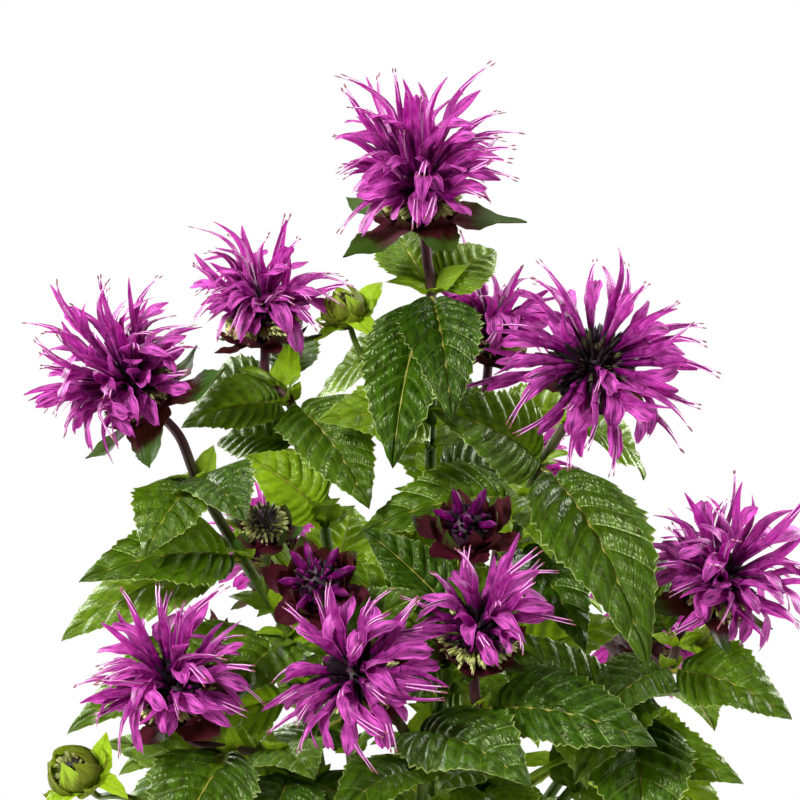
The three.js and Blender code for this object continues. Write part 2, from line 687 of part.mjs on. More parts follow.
function growLeaves() {
  const leaves = [];
  LEAVES.forEach(([stem, at, tip, width, turn]) => {
    const found = placeLeaf(stem, smoothPoint(stemPoints(stem), at), vec(tip), width, turn);
    leaves.push(...found.map((leaf) => ({ stem, leaf })));
  });
  Object.keys(STEMS).forEach((stem, order) => {
    const points = stemPoints(stem);
    for (let at = points.length - 3.5; at > 1; at -= PAIR_STEP) {
      const root = smoothPoint(points, at);
      const taken = LEAVES.filter(([owner, place]) => owner === stem && Math.abs(place - at) < 0.4).length;
      if (taken > 1 || root.z < PAIR_ZONE[0] || root.z > PAIR_ZONE[1]) continue;
      const length = lerp(...PAIR_LENGTH, (root.z - PAIR_ZONE[0]) / (PAIR_ZONE[1] - PAIR_ZONE[0]));
      for (const turn of [0, Math.PI]) {
        const angle = order * GOLDEN_TURN + at * Math.PI + turn;
        const reach = new THREE.Vector3(Math.cos(angle), Math.sin(angle), -PAIR_DROOP).multiplyScalar(length);
        const tip = root.clone().add(reach);
        const found = placeLeaf(stem, root, tip, length * PAIR_SLIMNESS, tip.y < 0 ? PAIR_TURN : 0);
        leaves.push(...found.map((leaf) => ({ stem, leaf })));
      }
    }
  });
  return leaves;
}

// The pot's section, from the middle of its underside round to the middle of its floor.
function potProfile() {
  const rimBottom = POT_HEIGHT - RIM_HEIGHT;
  const innerTop = RIM_RADIUS - POT_WALL;
  return [
    [0, 0],
    [POT_FOOT_RADIUS - POT_EDGE, 0],
    [POT_FOOT_RADIUS, POT_EDGE],
    [POT_NECK_RADIUS, rimBottom],
    [POT_NECK_RADIUS + RIM_OVERHANG, rimBottom],
    [RIM_RADIUS, POT_HEIGHT - POT_EDGE],
    [RIM_RADIUS - POT_EDGE, POT_HEIGHT],
    [innerTop, POT_HEIGHT],
    [POT_NECK_RADIUS - POT_WALL + 2, rimBottom],
    [POT_FOOT_RADIUS - POT_WALL, POT_FLOOR],
    [0, POT_FLOOR],
  ];
}

// The inside radius of the pot at a height.
function potInside(z) {
  const rimBottom = POT_HEIGHT - RIM_HEIGHT;
  const neck = POT_NECK_RADIUS - POT_WALL + 2;
  if (z > rimBottom) return lerp(neck, RIM_RADIUS - POT_WALL, (z - rimBottom) / RIM_HEIGHT);
  return lerp(POT_FOOT_RADIUS - POT_WALL, neck, (z - POT_FLOOR) / (rimBottom - POT_FLOOR));
}

function turned(profile) {
  const geometry = new THREE.LatheGeometry(profile.map(([r, z]) => new THREE.Vector2(r, z)), POT_SIDES);
  return solidFromGeometry(geometry.rotateX(Math.PI / 2));
}

function potSolid() {
  let pot = turned(potProfile());
  for (let i = 0; i < DRAIN_COUNT; i++) {
    const angle = (2 * Math.PI * (i + 0.5)) / DRAIN_COUNT;
    const drain = new THREE.CylinderGeometry(DRAIN_RADIUS, DRAIN_RADIUS, 3 * POT_FLOOR, DRAIN_SIDES);
    drain.rotateX(Math.PI / 2).translate(DRAIN_RING * Math.cos(angle), DRAIN_RING * Math.sin(angle), 0);
    pot = pot.subtract(solidFromGeometry(drain));
  }
  return pot;
}

// A stem stands straight in the potting mix, and curves from its collar on.
function stemSolid(name) {
  const points = stemPoints(name);
  const line = [points[0], ...walk(points, STEM_STEPS, 1)];
  const radii = line.map((_, i) => lerp(STEM_RADIUS, STEM_TIP_RADIUS, i / (line.length - 1)));
  return stalk(line, radii, headFrame(STEMS[name].head).axis);
}

function branchSolid(branch) {
  const line = walk(branchPoints(branch), STEM_STEPS);
  return stalk(line, line.map(() => BRANCH_RADIUS), headFrame(branch.head).axis);
}

function soilSolid() {
  const rimBottom = POT_HEIGHT - RIM_HEIGHT;
  const bottom = POT_FLOOR + GAP;
  let soil = turned([
    [0, bottom],
    [potInside(bottom) - SOIL_CLEARANCE, bottom],
    [potInside(rimBottom) - SOIL_CLEARANCE, rimBottom],
    [potInside(SOIL_TOP) - SOIL_CLEARANCE, SOIL_TOP],
    [0.5 * POT_NECK_RADIUS, SOIL_TOP + 0.7 * SOIL_CROWN],
    [0, SOIL_TOP + SOIL_CROWN],
  ]);
  Object.keys(STEMS).forEach((name) => {
    const [x, y] = STEMS[name].foot;
    const ends = [STEM_ROOT - GAP, STEM_COLLAR].map((z) => new THREE.Vector3(x, y, z));
    soil = soil.subtract(stalk(ends, ends.map(() => STEM_RADIUS + HOLE_CLEARANCE), UP));
  });
  return soil;
}

const plant = new THREE.Group();
plant.add(meshOf("pot", potSolid(), "clay"), meshOf("soil", soilSolid(), "soil"));

Object.keys(HEADS).forEach(markHead);
Object.keys(STEMS).forEach((name) => {
  walk(stemPoints(name), 24).forEach((p) => addSpot(p, STEM_RADIUS, name, true));
});
BRANCHES.forEach((branch) => {
  walk(branchPoints(branch), 12).forEach((p) => addSpot(p, BRANCH_RADIUS, branch.stem, true));
});

const leaves = growLeaves();
Object.keys(STEMS).forEach((name) => {
  const shoots = BRANCHES.filter(({ stem }) => stem === name).map(branchSolid);
  const blades = leaves.filter(({ stem }) => stem === name).map(({ leaf }) => leafSolid(leaf));
  plant.add(meshOf(`stem_${name}`, join([stemSolid(name), ...shoots, ...blades]), "leaf"));
});

Object.entries(HEADS).forEach(([name, head]) => {
  if (!head.florets) {
    plant.add(meshOf(`bud_${name}`, budSolid(name), head.buds ? "plum_bud" : "green_bud"));
    return;
  }
  const frame = headFrame(name);
  const whorl = bractFrames(name).map((bract) => bractSolid(frame, bract));
  const florets = floretFrames(name).map(floretSolid);
  plant.add(meshOf(`bracts_${name}`, join([loft(cupRings(frame)), ...whorl]), "bract"));
  const dome = loft(domeRings(frame, CUP_HEIGHT + GAP, DOME_RADIUS));
  plant.add(meshOf(`bloom_${name}`, join([dome, ...florets]), "floret"));
});

export default plant;
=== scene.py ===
import math

import bpy
import numpy as np
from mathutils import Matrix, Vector


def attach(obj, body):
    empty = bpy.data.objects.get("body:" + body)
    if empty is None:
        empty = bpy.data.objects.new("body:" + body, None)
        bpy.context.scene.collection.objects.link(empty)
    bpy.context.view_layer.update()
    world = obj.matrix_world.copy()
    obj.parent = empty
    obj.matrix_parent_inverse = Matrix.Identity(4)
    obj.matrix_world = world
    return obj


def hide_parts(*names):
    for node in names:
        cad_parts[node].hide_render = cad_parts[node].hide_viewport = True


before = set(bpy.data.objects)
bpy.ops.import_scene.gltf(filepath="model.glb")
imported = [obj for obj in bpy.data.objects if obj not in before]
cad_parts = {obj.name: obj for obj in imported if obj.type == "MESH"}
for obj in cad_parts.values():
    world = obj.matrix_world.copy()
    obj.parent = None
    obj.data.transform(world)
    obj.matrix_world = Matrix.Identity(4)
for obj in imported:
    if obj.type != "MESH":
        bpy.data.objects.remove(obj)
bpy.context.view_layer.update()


# Studio: a plain white surround that gives next to no light, a small strong lamp over the camera's left
# shoulder, a weak one on its right, two large ones behind, which shine through leaves and florets, one above
# the plant, and a round of matt white card to stand on. Metres and watts.
CAMERA_AWAY = 1.6
CAMERA_RISE = math.radians(8)
FRAME_WIDTH = 0.336
SENSOR_WIDTH = 36
LOOKED_AT = Vector((0, 0, 0.383))
SURROUND_SEEN = 1.0
SURROUND_LIGHT = 0.01
# Each lamp's name, place, width and power
SOFT_LIGHTS = [
    ("front_left", (-0.9, -1.3, 1.2), 0.3, 54),
    ("front_right", (1.3, -0.9, 0.8), 0.5, 8),
    ("back_left", (-1.2, 0.9, 0.8), 0.7, 50),
    ("back_right", (1.2, 0.9, 0.8), 0.7, 50),
    ("top", (0.1, 0.2, 1.7), 0.6, 26),
]
CARD_RADIUS = 0.72
CARD_TOP = -0.001
CARD_WHITE = "#EDEBE8"


def shade(code):
    """An sRGB hex colour as linear red, green, blue and alpha."""
    parts = [int(code[i : i + 2], 16) / 255 for i in (1, 3, 5)]
    return (*(p / 12.92 if p <= 0.04045 else ((p + 0.055) / 1.055) ** 2.4 for p in parts), 1)


def feed(tree, socket, value):
    """Sets a socket, or links it to an output. A node stands for its first output in use."""
    if isinstance(value, bpy.types.Node):
        value = next(output for output in value.outputs if output.enabled)
    if isinstance(value, bpy.types.NodeSocket):
        tree.links.new(value, socket)
    else:
        socket.default_value = value


def add_node(tree, kind, sockets=(), **settings):
    """A new shader node with its settings, and its sockets linked or set."""
    node = tree.nodes.new("ShaderNode" + kind)
    for name, value in settings.items():
        setattr(node, name, value)
    for name, value in dict(sockets).items():
        feed(tree, node.inputs[name], value)
    return node


def new_material(name, **finish):
    """A material with its surface shader's own sockets set, given by name with _ for each space."""
    material = bpy.data.materials.new(name)
    material.use_nodes = True
    surface = material.node_tree.nodes["Principled BSDF"]
    for socket, value in finish.items():
        surface.inputs[socket.replace("_", " ")].default_value = value
    return material, material.node_tree, surface


camera = bpy.data.objects.new("camera", bpy.data.cameras.new("camera"))
camera.data.sensor_width = SENSOR_WIDTH
camera.data.lens = SENSOR_WIDTH * CAMERA_AWAY / FRAME_WIDTH
camera.location = LOOKED_AT + CAMERA_AWAY * Vector((0, -math.cos(CAMERA_RISE), math.sin(CAMERA_RISE)))
camera.rotation_euler = (math.pi / 2 - CAMERA_RISE, 0, 0)
bpy.context.scene.collection.objects.link(camera)
bpy.context.scene.camera = camera
bpy.context.scene.view_settings.view_transform = "Standard"

world = bpy.data.worlds.new("white_surround")
world.use_nodes = True
world.node_tree.nodes.clear()
seen_directly = add_node(world.node_tree, "LightPath").outputs["Is Camera Ray"]
surround = add_node(
    world.node_tree, "MapRange", {"Value": seen_directly, "To Min": SURROUND_LIGHT, "To Max": SURROUND_SEEN}
)
glow = add_node(world.node_tree, "Background", {"Color": (1, 1, 1, 1), "Strength": surround})
add_node(world.node_tree, "OutputWorld", {"Surface": glow})
bpy.context.scene.world = world

for name, place, size, power in SOFT_LIGHTS:
    lamp = bpy.data.lights.new(name, "AREA")
    lamp.energy = power
    lamp.size = size
    stand = bpy.data.objects.new(name, lamp)
    stand.location = place
    stand.rotation_euler = (LOOKED_AT - Vector(place)).to_track_quat("-Z", "Y").to_euler()
    bpy.context.scene.collection.objects.link(stand)

bpy.ops.object.select_all(action="DESELECT")
bpy.ops.mesh.primitive_circle_add(
    vertices=96, radius=CARD_RADIUS, fill_type="NGON", location=(0, 0, CARD_TOP)
)
floor = bpy.context.object
floor.name = "white_card"
floor.data.materials.append(new_material("matt white card", Base_Color=shade(CARD_WHITE), Roughness=0.9)[0])


# Pot: plain terracotta, thrown on a wheel and fired without glaze, with a rim band to lift it by and four
# drain holes. It is matt and porous, mottled orange-brown, with a pale bloom of lime where water dries.
# Both profiles are (radius, height) pairs in millimetres.
POT_OUTSIDE = [(58.5, 0), (60, 1.5), (82, 118), (87, 118), (92, 148.5), (90.5, 150)]
POT_INSIDE = [(85, 150), (77, 118), (53, 9)]
POT_SIDES = 96
POT_EDGE_MM = 0.9
SHARPEST_CURVE = math.radians(28)
SMOOTH_UP_TO = math.radians(35)
DRAIN_COUNT = 4
DRAIN_RADIUS_MM = 5
DRAIN_RING_MM = 34
DRILL_LENGTH_MM = 30
CLAY_MID = "#7E3C22"
CLAY_PALE = "#935336"
CLAY_DARK = "#5C2A18"
CLAY_LIME = "#98705A"


def turn_on_wheel(name, profile, sides):
    """A closed round body: a disc drawn up and out through (radius, height) pairs in millimetres."""
    radius, height = profile[0]
    bpy.ops.object.select_all(action="DESELECT")
    bpy.ops.mesh.primitive_circle_add(
        vertices=sides, radius=radius / 1000, fill_type="NGON", location=(0, 0, height / 1000)
    )
    body = bpy.context.object
    body.name = name
    bpy.ops.object.transform_apply(location=True)
    bpy.ops.object.mode_set(mode="EDIT")
    bpy.ops.mesh.select_all(action="SELECT")
    for new_radius, new_height in profile[1:]:
        bpy.ops.mesh.extrude_region_move(
            TRANSFORM_OT_translate={"value": (0, 0, (new_height - height) / 1000)}
        )
        bpy.ops.transform.resize(value=(new_radius / radius, new_radius / radius, 1))
        radius, height = new_radius, new_height
    bpy.ops.mesh.select_all(action="SELECT")
    bpy.ops.mesh.normals_make_consistent(inside=False)
    bpy.ops.object.mode_set(mode="OBJECT")
    return body


def apply_modifier(body, kind, **settings):
    modifier = body.modifiers.new(kind.lower(), kind)
    for name, value in settings.items():
        setattr(modifier, name, value)
    bpy.ops.object.select_all(action="DESELECT")
    body.select_set(True)
    bpy.context.view_layer.objects.active = body
    bpy.ops.object.modifier_apply(modifier=modifier.name)


def settle(body, nodes):
    """Hands a finished piece to the frame, and hides the plain solids it stands for."""
    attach(body, "root")
    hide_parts(*nodes)


def lay_skin(tree, surface, colour, height, reach, strength):
    """Gives a surface its colour, and a relief of so many metres by a height from 0 to 1."""
    bump = add_node(tree, "Bump", {"Height": height, "Distance": reach, "Strength": strength})
    feed(tree, surface.inputs["Base Color"], colour)
    feed(tree, surface.inputs["Normal"], bump)


def terracotta():
    material, tree, surface = new_material("unglazed terracotta", Roughness=0.88)
    place = add_node(tree, "TexCoord").outputs["Object"]
    # Firing mottles the clay over about 30 mm, and lime dries out in patches of about 12 mm
    mottle = add_node(tree, "TexNoise", {"Vector": place, "Scale": 33.0, "Detail": 5.0})
    patches = add_node(tree, "TexNoise", {"Vector": place, "Scale": 80.0, "Detail": 6.0})
    lime = add_node(tree, "MapRange", {"Value": patches, 1: 0.56, 2: 0.78, 3: 0.0, 4: 0.5})
    colour = shade(CLAY_DARK)
    for share, tint in ((mottle, CLAY_PALE), (0.55, CLAY_MID), (lime, CLAY_LIME)):
        colour = add_node(tree, "Mix", {0: share, 6: colour, 7: shade(tint)}, data_type="RGBA")
    # Grog of about 1 mm, and rings about 4 mm apart from the thrower's fingers
    grog = add_node(tree, "TexNoise", {"Vector": place, "Scale": 1000.0, "Detail": 3.0})
    ringed = {"Vector": place, "Scale": 40.0, "Distortion": 1.5, "Detail": 1.0}
    rings = add_node(tree, "TexWave", ringed, bands_direction="Z").outputs["Fac"]
    relief = add_node(tree, "Mix", {0: 0.4, 2: grog, 3: rings}, data_type="FLOAT")
    lay_skin(tree, surface, colour, relief, 0.0005, 0.5)
    return material


pot = turn_on_wheel("clay_pot", POT_OUTSIDE + POT_INSIDE, POT_SIDES)
for number in range(DRAIN_COUNT):
    angle = 2 * math.pi * (number + 0.5) / DRAIN_COUNT
    bpy.ops.object.select_all(action="DESELECT")
    bpy.ops.mesh.primitive_cylinder_add(
        vertices=32,
        radius=DRAIN_RADIUS_MM / 1000,
        depth=DRILL_LENGTH_MM / 1000,
        location=(DRAIN_RING_MM * math.cos(angle) / 1000, DRAIN_RING_MM * math.sin(angle) / 1000, 0),
    )
    drill = bpy.context.object
    apply_modifier(pot, "BOOLEAN", object=drill, operation="DIFFERENCE")
    bpy.data.objects.remove(drill)
apply_modifier(
    pot, "BEVEL", width=POT_EDGE_MM / 1000, segments=3, limit_method="ANGLE", angle_limit=SHARPEST_CURVE
)
bpy.ops.object.shade_smooth_by_angle(angle=SMOOTH_UP_TO)
pot.data.materials.append(terracotta())
settle(pot, ["pot"])


# Potting mix: damp peat, compost and composted bark, filled to a finger's width under the rim and heaped a
# little round the stems. It is dark and crumbly, with chips of bark on top.
MIX_PROFILE = [(52.6, 9.3), (76.6, 118), (80.1, 134), (60, 136.3), (41, 137.5), (20, 138.7), (2, 139)]
MIX_SIDES = 64
MIX_TOP = [(2, 139), (41, 137.5), (80.1, 134)]
MIX_REACH = 78
MIX_TONE = 0.3
CRUMB_COUNT = 950
CRUMB_SIZE_MM = (0.9, 2.6)
CRUMB_LUMPS = 0.25
CRUMB_TILT = 0.25
CRUMB_SEAT = 0.2
CRUMB_HEIGHT = 0.8
CRUMB_TONE = (0.3, 0.7)
CHIP_SHARE = 0.25
CHIP_GROWTH = 1.7
CHIP_HEIGHT = 0.35
CHIP_TONE = (0.3, 1.2)
MIX_BROWN = "#2E2017"
MIX_BARK = "#6A4A33"


def points_of(body):
    """The mesh's points as rows of a table."""
    table = np.empty(len(body.data.vertices) * 3)
    body.data.vertices.foreach_get("co", table)
    return table.reshape(-1, 3)


def pattern_of(body):
    """Takes a finished pattern piece apart into its points, faces and map, to be copied, and removes it."""
    points = points_of(body)
    faces = [tuple(face.vertices) for face in body.data.polygons]
    chart = np.empty(len(body.data.loops) * 2)
    body.data.uv_layers.active.data.foreach_get("uv", chart)
    bpy.data.objects.remove(body)
    return points, faces, chart.reshape(-1, 2)


def assemble(name, copies, material):
    """One smooth piece from copies, each its moved points, the pattern it comes from and its tone."""
    offset = 0
    points, faces, charts, tones = [], [], [], []
    for moved, (_, pattern_faces, chart), tone in copies:
        points.append(moved)
        faces.extend([tuple(i + offset for i in face) for face in pattern_faces])
        charts.append(chart)
        tones.append(np.broadcast_to(tone, len(moved)))
        offset += len(moved)
    mesh = bpy.data.meshes.new(name)
    mesh.from_pydata(np.concatenate(points), [], faces)
    mesh.uv_layers.new(name="growth").data.foreach_set("uv", np.concatenate(charts).ravel())
    mesh.attributes.new("tone", "FLOAT", "POINT").data.foreach_set("value", np.concatenate(tones))
    mesh.shade_smooth()
    mesh.materials.append(material)
    body = bpy.data.objects.new(name, mesh)
    bpy.context.scene.collection.objects.link(body)
    return body


def potting_mix():
    material, tree, surface = new_material("damp potting mix", Roughness=0.95)
    place = add_node(tree, "TexCoord").outputs["Object"]
    # Crumbs of about 3 mm
    crumbs = add_node(tree, "TexNoise", {"Vector": place, "Scale": 330.0, "Detail": 4.0})
    tone = add_node(tree, "Attribute", attribute_name="tone").outputs["Fac"]
    woody = add_node(tree, "Math", {0: crumbs, 1: tone}, operation="MULTIPLY")
    colour = add_node(tree, "Mix", {0: woody, 6: shade(MIX_BROWN), 7: shade(MIX_BARK)}, data_type="RGBA")
    lay_skin(tree, surface, colour, crumbs, 0.001, 0.8)
    return material


mix_draw = np.random.default_rng(3)
mix_pattern = pattern_of(turn_on_wheel("mix_heap", MIX_PROFILE, MIX_SIDES))
bpy.ops.mesh.primitive_ico_sphere_add(subdivisions=2, radius=1)
crumb_pattern = pattern_of(bpy.context.object)
mix_copies = [(mix_pattern[0], mix_pattern, MIX_TONE)]
for number in range(CRUMB_COUNT):
    away = MIX_REACH * math.sqrt(mix_draw.uniform(0.002, 1))
    angle = mix_draw.uniform(0, 2 * math.pi)
    is_chip = mix_draw.uniform() < CHIP_SHARE
    size = mix_draw.uniform(*CRUMB_SIZE_MM) * (CHIP_GROWTH if is_chip else 1)
    tall = CHIP_HEIGHT if is_chip else CRUMB_HEIGHT
    shape = size * np.array([mix_draw.uniform(0.7, 1.3), mix_draw.uniform(0.5, 1), tall])
    lumps = 1 + CRUMB_LUMPS * mix_draw.uniform(-1, 1, (len(crumb_pattern[0]), 1))
    x, y, z = (crumb_pattern[0] * lumps * shape).T
    turn = mix_draw.uniform(0, 2 * math.pi)
    tilted = z + CRUMB_TILT * x * mix_draw.uniform(-1, 1)
    spun = [x * math.cos(turn) - y * math.sin(turn), x * math.sin(turn) + y * math.cos(turn), tilted]
    height = np.interp(away, *zip(*MIX_TOP)) + CRUMB_SEAT * size
    centre = np.array([away * math.cos(angle), away * math.sin(angle), height])
    tone = mix_draw.uniform(*(CHIP_TONE if is_chip else CRUMB_TONE))
    mix_copies.append(((centre + np.stack(spun, axis=1)) / 1000, crumb_pattern, tone))
mix = assemble("potting_mix", mix_copies, potting_mix())
settle(mix, ["soil"])


# Stems: four-sided, as in all the mint family, with rounded corners. They are leaf-green low down and stained
# purple-brown towards each head, and stand straight in the potting mix.
STEM_ROOT = 100
STEM_COLLAR = 142
STEM_RADIUS = (2.6, 2.0)
BRANCH_RADIUS = (1.7, 1.4)
NECK = 16
BRANCH_NECK = 8
STEM_SIDES = 16
STEM_RINGS = 90
STEM_SQUARENESS = 1.2
STAINED_LENGTH_MM = 62
STAIN_AT_HEAD = 1.15
STAIN_LOW_DOWN = 0.12
SHOOT_STAIN = 0.15
STEM_GREEN = "#466010"
STEM_PURPLE = "#45202B"

# Each stem's foot on the mix and the points that it passes through, in millimetres. It ends in the head or
# bud of its own name.
STEMS = {
    "crown": [(6, 4), (10, 3, 250), (13, 0, 370), (13, -5, 427)],
    "left": [(-22, -4), (-34, -14, 230), (-46, -20, 284), (-65, -25, 319), (-83, -26, 351)],
    "high_left": [(-14, 12), (-22, 12, 240), (-33, 8, 333), (-46, 8, 380)],
    "shaded": [(16, 18), (24, 26, 240), (36, 36, 320), (40, 44, 362)],
    "wheel": [(26, -6), (36, -6, 240), (48, -2, 320), (59, -2, 355)],
    "right": [(38, 2), (58, -4, 195), (84, -12, 232), (97, -16, 251), (112, -20, 271)],
    "low_left": [(-22, -24), (-30, -42, 190), (-41, -55, 225), (-50, -60, 243)],
    "low_front": [(0, -34), (4, -48, 190), (9, -58, 235)],
    "low_right": [(16, -26), (26, -40, 200), (33, -56, 248)],
    "star": [(-8, -16), (-18, -30, 230), (-28, -38, 282)],
    "plum": [(6, -10), (14, -20, 240), (24, -34, 296)],
    "back_left": [(-20, 28), (-38, 56, 210), (-48, 80, 255)],
    "back": [(14, 36), (24, 62, 220), (40, 88, 285)],
    "back_right": [(30, 22), (58, 44, 190), (88, 62, 230)],
    "side": [(-36, 14), (-56, 36, 190), (-76, 52, 235)],
}

# Side shoots: the stem and the place on it counted in that stem's points, the shoot's points and its bud.
SHOOTS = [
    ("left", 3.5, [(-56, -28, 312)], "green"),
    ("crown", 3, [(-2, 8, 381), (-13, 14, 393)], "young"),
    ("low_left", 3.5, [(-90, -62, 224), (-115, -62, 228)], "outer"),
    ("right", 4.5, [(118, -6, 260)], "small"),
]

# Open heads: where the cup meets the stem, the way it faces, the number of florets in the plain solid, their
# reach to the side and how much further at the top, their spread in degrees and the length of the bracts.
HEADS = {
    "crown": {
        "at": (10, -12, 458), "faces": (-0.08, -0.3, 0.95), "florets": 19,
        "reach": 33, "rise": 0.88, "spread": (4, 74), "bract": 38,
    },
    "left": {
        "at": (-101, -25, 382), "faces": (-0.6, -0.32, 0.74), "florets": 18,
        "reach": 37, "rise": 0.6, "spread": (6, 78), "bract": 36,
    },
    "high_left": {
        "at": (-57, 10, 404), "faces": (-0.05, -0.15, 0.98), "florets": 15,
        "reach": 32, "rise": 0.45, "spread": (8, 78), "bract": 20,
    },
    "shaded": {
        "at": (38, 44, 392), "faces": (0.05, -0.1, 0.99), "florets": 12,
        "reach": 34, "rise": 0.3, "spread": (12, 80), "bract": 20,
    },
    "wheel": {
        "at": (79, -14, 394), "faces": (0.05, -0.87, 0.5), "florets": 18,
        "reach": 50, "rise": 0, "spread": (46, 86), "bract": 24,
    },
    "right": {
        "at": (126, -20, 300), "faces": (0.42, -0.45, 0.7), "florets": 16,
        "reach": 40, "rise": 0.3, "spread": (20, 86), "bract": 28,
    },
    "low_left": {
        "at": (-88, -72, 265), "faces": (-0.25, -0.45, 0.82), "florets": 16,
        "reach": 37, "rise": 0.3, "spread": (15, 86), "bract": 28,
    },
    "low_front": {
        "at": (-12, -88, 279), "faces": (-0.38, -0.78, 0.5), "florets": 15,
        "reach": 40, "rise": 0, "spread": (30, 86), "bract": 20,
    },
    "low_right": {
        "at": (31, -72, 288), "faces": (0.05, -0.5, 0.85), "florets": 8,
        "reach": 34, "rise": 0.3, "spread": (12, 62), "bract": 19,
    },
    "back_left": {
        "at": (-50, 92, 285), "faces": (-0.25, 0.6, 0.75), "florets": 13,
        "reach": 34, "rise": 0.4, "spread": (12, 85), "bract": 24,
    },
    "back": {
        "at": (46, 98, 318), "faces": (0.15, 0.6, 0.78), "florets": 14,
        "reach": 35, "rise": 0.5, "spread": (12, 85), "bract": 24,
    },
    "back_right": {
        "at": (100, 72, 256), "faces": (0.55, 0.5, 0.66), "florets": 13,
        "reach": 34, "rise": 0.4, "spread": (12, 85), "bract": 24,
    },
}

# Buds: where the cup meets the stem, the way it faces, the florets that stand out of it, the radius of its
# dome and the length of its bracts.
BUDS = {
    "star": {"at": (-34, -56, 311), "faces": (0, -0.8, 0.6), "florets": 9, "size": 10, "bract": 19},
    "plum": {"at": (28, -50, 330), "faces": (-0.05, -0.5, 0.86), "florets": 6, "size": 10, "bract": 19},
    "green": {"at": (-55, -38, 330), "faces": (-0.05, -0.55, 0.83), "florets": 0, "size": 9, "bract": 15},
    "young": {"at": (-21, 15, 412), "faces": (-0.3, -0.2, 0.93), "florets": 0, "size": 8, "bract": 14},
    "outer": {"at": (-128, -60, 232), "faces": (-0.5, -0.5, 0.7), "florets": 0, "size": 9, "bract": 18},
    "small": {"at": (131, 0, 272), "faces": (0.2, -0.2, 0.95), "florets": 0, "size": 7, "bract": 13},
    "side": {"at": (-88, 62, 258), "faces": (-0.5, 0.4, 0.75), "florets": 5, "size": 10, "bract": 19},
}


def unit(vector):
    return vector / np.linalg.norm(vector, axis=-1, keepdims=True)


def between(a, b, share):
    return a + (b - a) * share


def smooth_point(points, at):
    """A point of a smooth curve through points, one unit of at from each to the next."""
    k = min(int(at), len(points) - 2)
    t = at - k
    b, c = points[k], points[k + 1]
    a = points[k - 1] if k > 0 else 2 * b - c
    d = points[k + 2] if k + 2 < len(points) else 2 * c - b
    return 0.5 * (2 * b + (c - a) * t + (2 * a - 5 * b + 4 * c - d) * t**2 + (3 * b - a - 3 * c + d) * t**3)


def across(direction):
    """Two directions square to the given one, the first as level as can be."""
    helper = (0, -1, 0) if abs(direction[2]) > 0.95 else (0, 0, 1)
    first = unit(np.cross(helper, direction))
    return first, np.cross(direction, first)


class HeadPlace:
    """Where a head or bud sits: its foot, its axis and two directions across."""

    def __init__(self, name):
        row = HEADS.get(name) or BUDS[name]
        self.at = np.array(row["at"], float)
        self.axis = unit(np.array(row["faces"], float))
        self.first, self.second = across(self.axis)

    def along(self, rise):
        return self.at + self.axis * rise

    def outward(self, turn):
        turn = np.asarray(turn)[..., None]
        return self.first * np.cos(turn) + self.second * np.sin(turn)


def stem_points(name):
    foot, *via = STEMS[name]
    head = HeadPlace(name)
    rows = [(*foot, STEM_ROOT), (*foot, STEM_COLLAR), *via, head.along(-NECK), head.at]
    return [np.array(row, float) for row in rows]


def shoot_points(stem, place, via, bud):
    head = HeadPlace(bud)
    rows = [smooth_point(stem_points(stem), place), *via, head.along(-BRANCH_NECK), head.at]
    return [np.array(row, float) for row in rows]


def drawn_rod(name, sides, rings):
    """A straight rod one metre long and one in radius, with rings of points at even heights."""
    return turn_on_wheel(name, [(1000, 1000 * ring / rings) for ring in range(rings + 1)], sides)


def carried_along(line, end=None):
    """Two directions across a line at each of its points, carried along without twist."""
    ways = unit(np.gradient(line, axis=0))
    if end is not None:
        ways[-1] = end
    firsts = [across(ways[0])[0]]
    for way in ways[1:]:
        firsts.append(unit(firsts[-1] - way * (firsts[-1] @ way)))
    firsts = np.array(firsts)
    return firsts, np.cross(ways, firsts)


def bent_rod(pattern, line, radii, end=None):
    """The rod's points laid along a line of millimetre points, one ring of the rod at each, each with the
    number of its ring."""
    rod = pattern[0]
    ring = np.rint(rod[:, 2] * (len(line) - 1)).astype(int)
    firsts, seconds = carried_along(line, end)
    sideways = firsts[ring] * rod[:, :1] + seconds[ring] * rod[:, 1:2]
    return line[ring] + sideways * radii[ring, None], ring


def stem_flesh():
    material, tree, surface = new_material("living stem", Roughness=0.55, Specular_IOR_Level=0.15)
    place = add_node(tree, "TexCoord").outputs["Object"]
    stain = add_node(tree, "Attribute", attribute_name="tone").outputs["Fac"]
    # The stain runs out in streaks of a few millimetres
    streaks = add_node(tree, "TexNoise", {"Vector": place, "Scale": 260.0, "Detail": 3.0})
    ragged = add_node(tree, "Math", {0: streaks, 1: 0.45, 2: -0.22}, operation="MULTIPLY_ADD")
    stained = add_node(tree, "Math", {0: stain, 1: ragged}, operation="ADD", use_clamp=True)
    shades = {0: stained, 6: shade(STEM_GREEN), 7: shade(STEM_PURPLE)}
    colour = add_node(tree, "Mix", shades, data_type="RGBA")
    # Fine down on the skin, drawn about 0.5 mm apart so that it shows
    down = add_node(tree, "TexNoise", {"Vector": place, "Scale": 2000.0, "Detail": 1.0})
    lay_skin(tree, surface, colour, down, 0.0002, 0.5)
    return material


STEM_FLESH = stem_flesh()
square_rod = drawn_rod("stem_pattern", STEM_SIDES, STEM_RINGS)
for point in square_rod.data.vertices:
    x, y = abs(point.co.x), abs(point.co.y)
    rounding = (x**STEM_SQUARENESS + y**STEM_SQUARENESS) ** (1 / STEM_SQUARENESS)
    point.co.x /= rounding
    point.co.y /= rounding
square_pattern = pattern_of(square_rod)


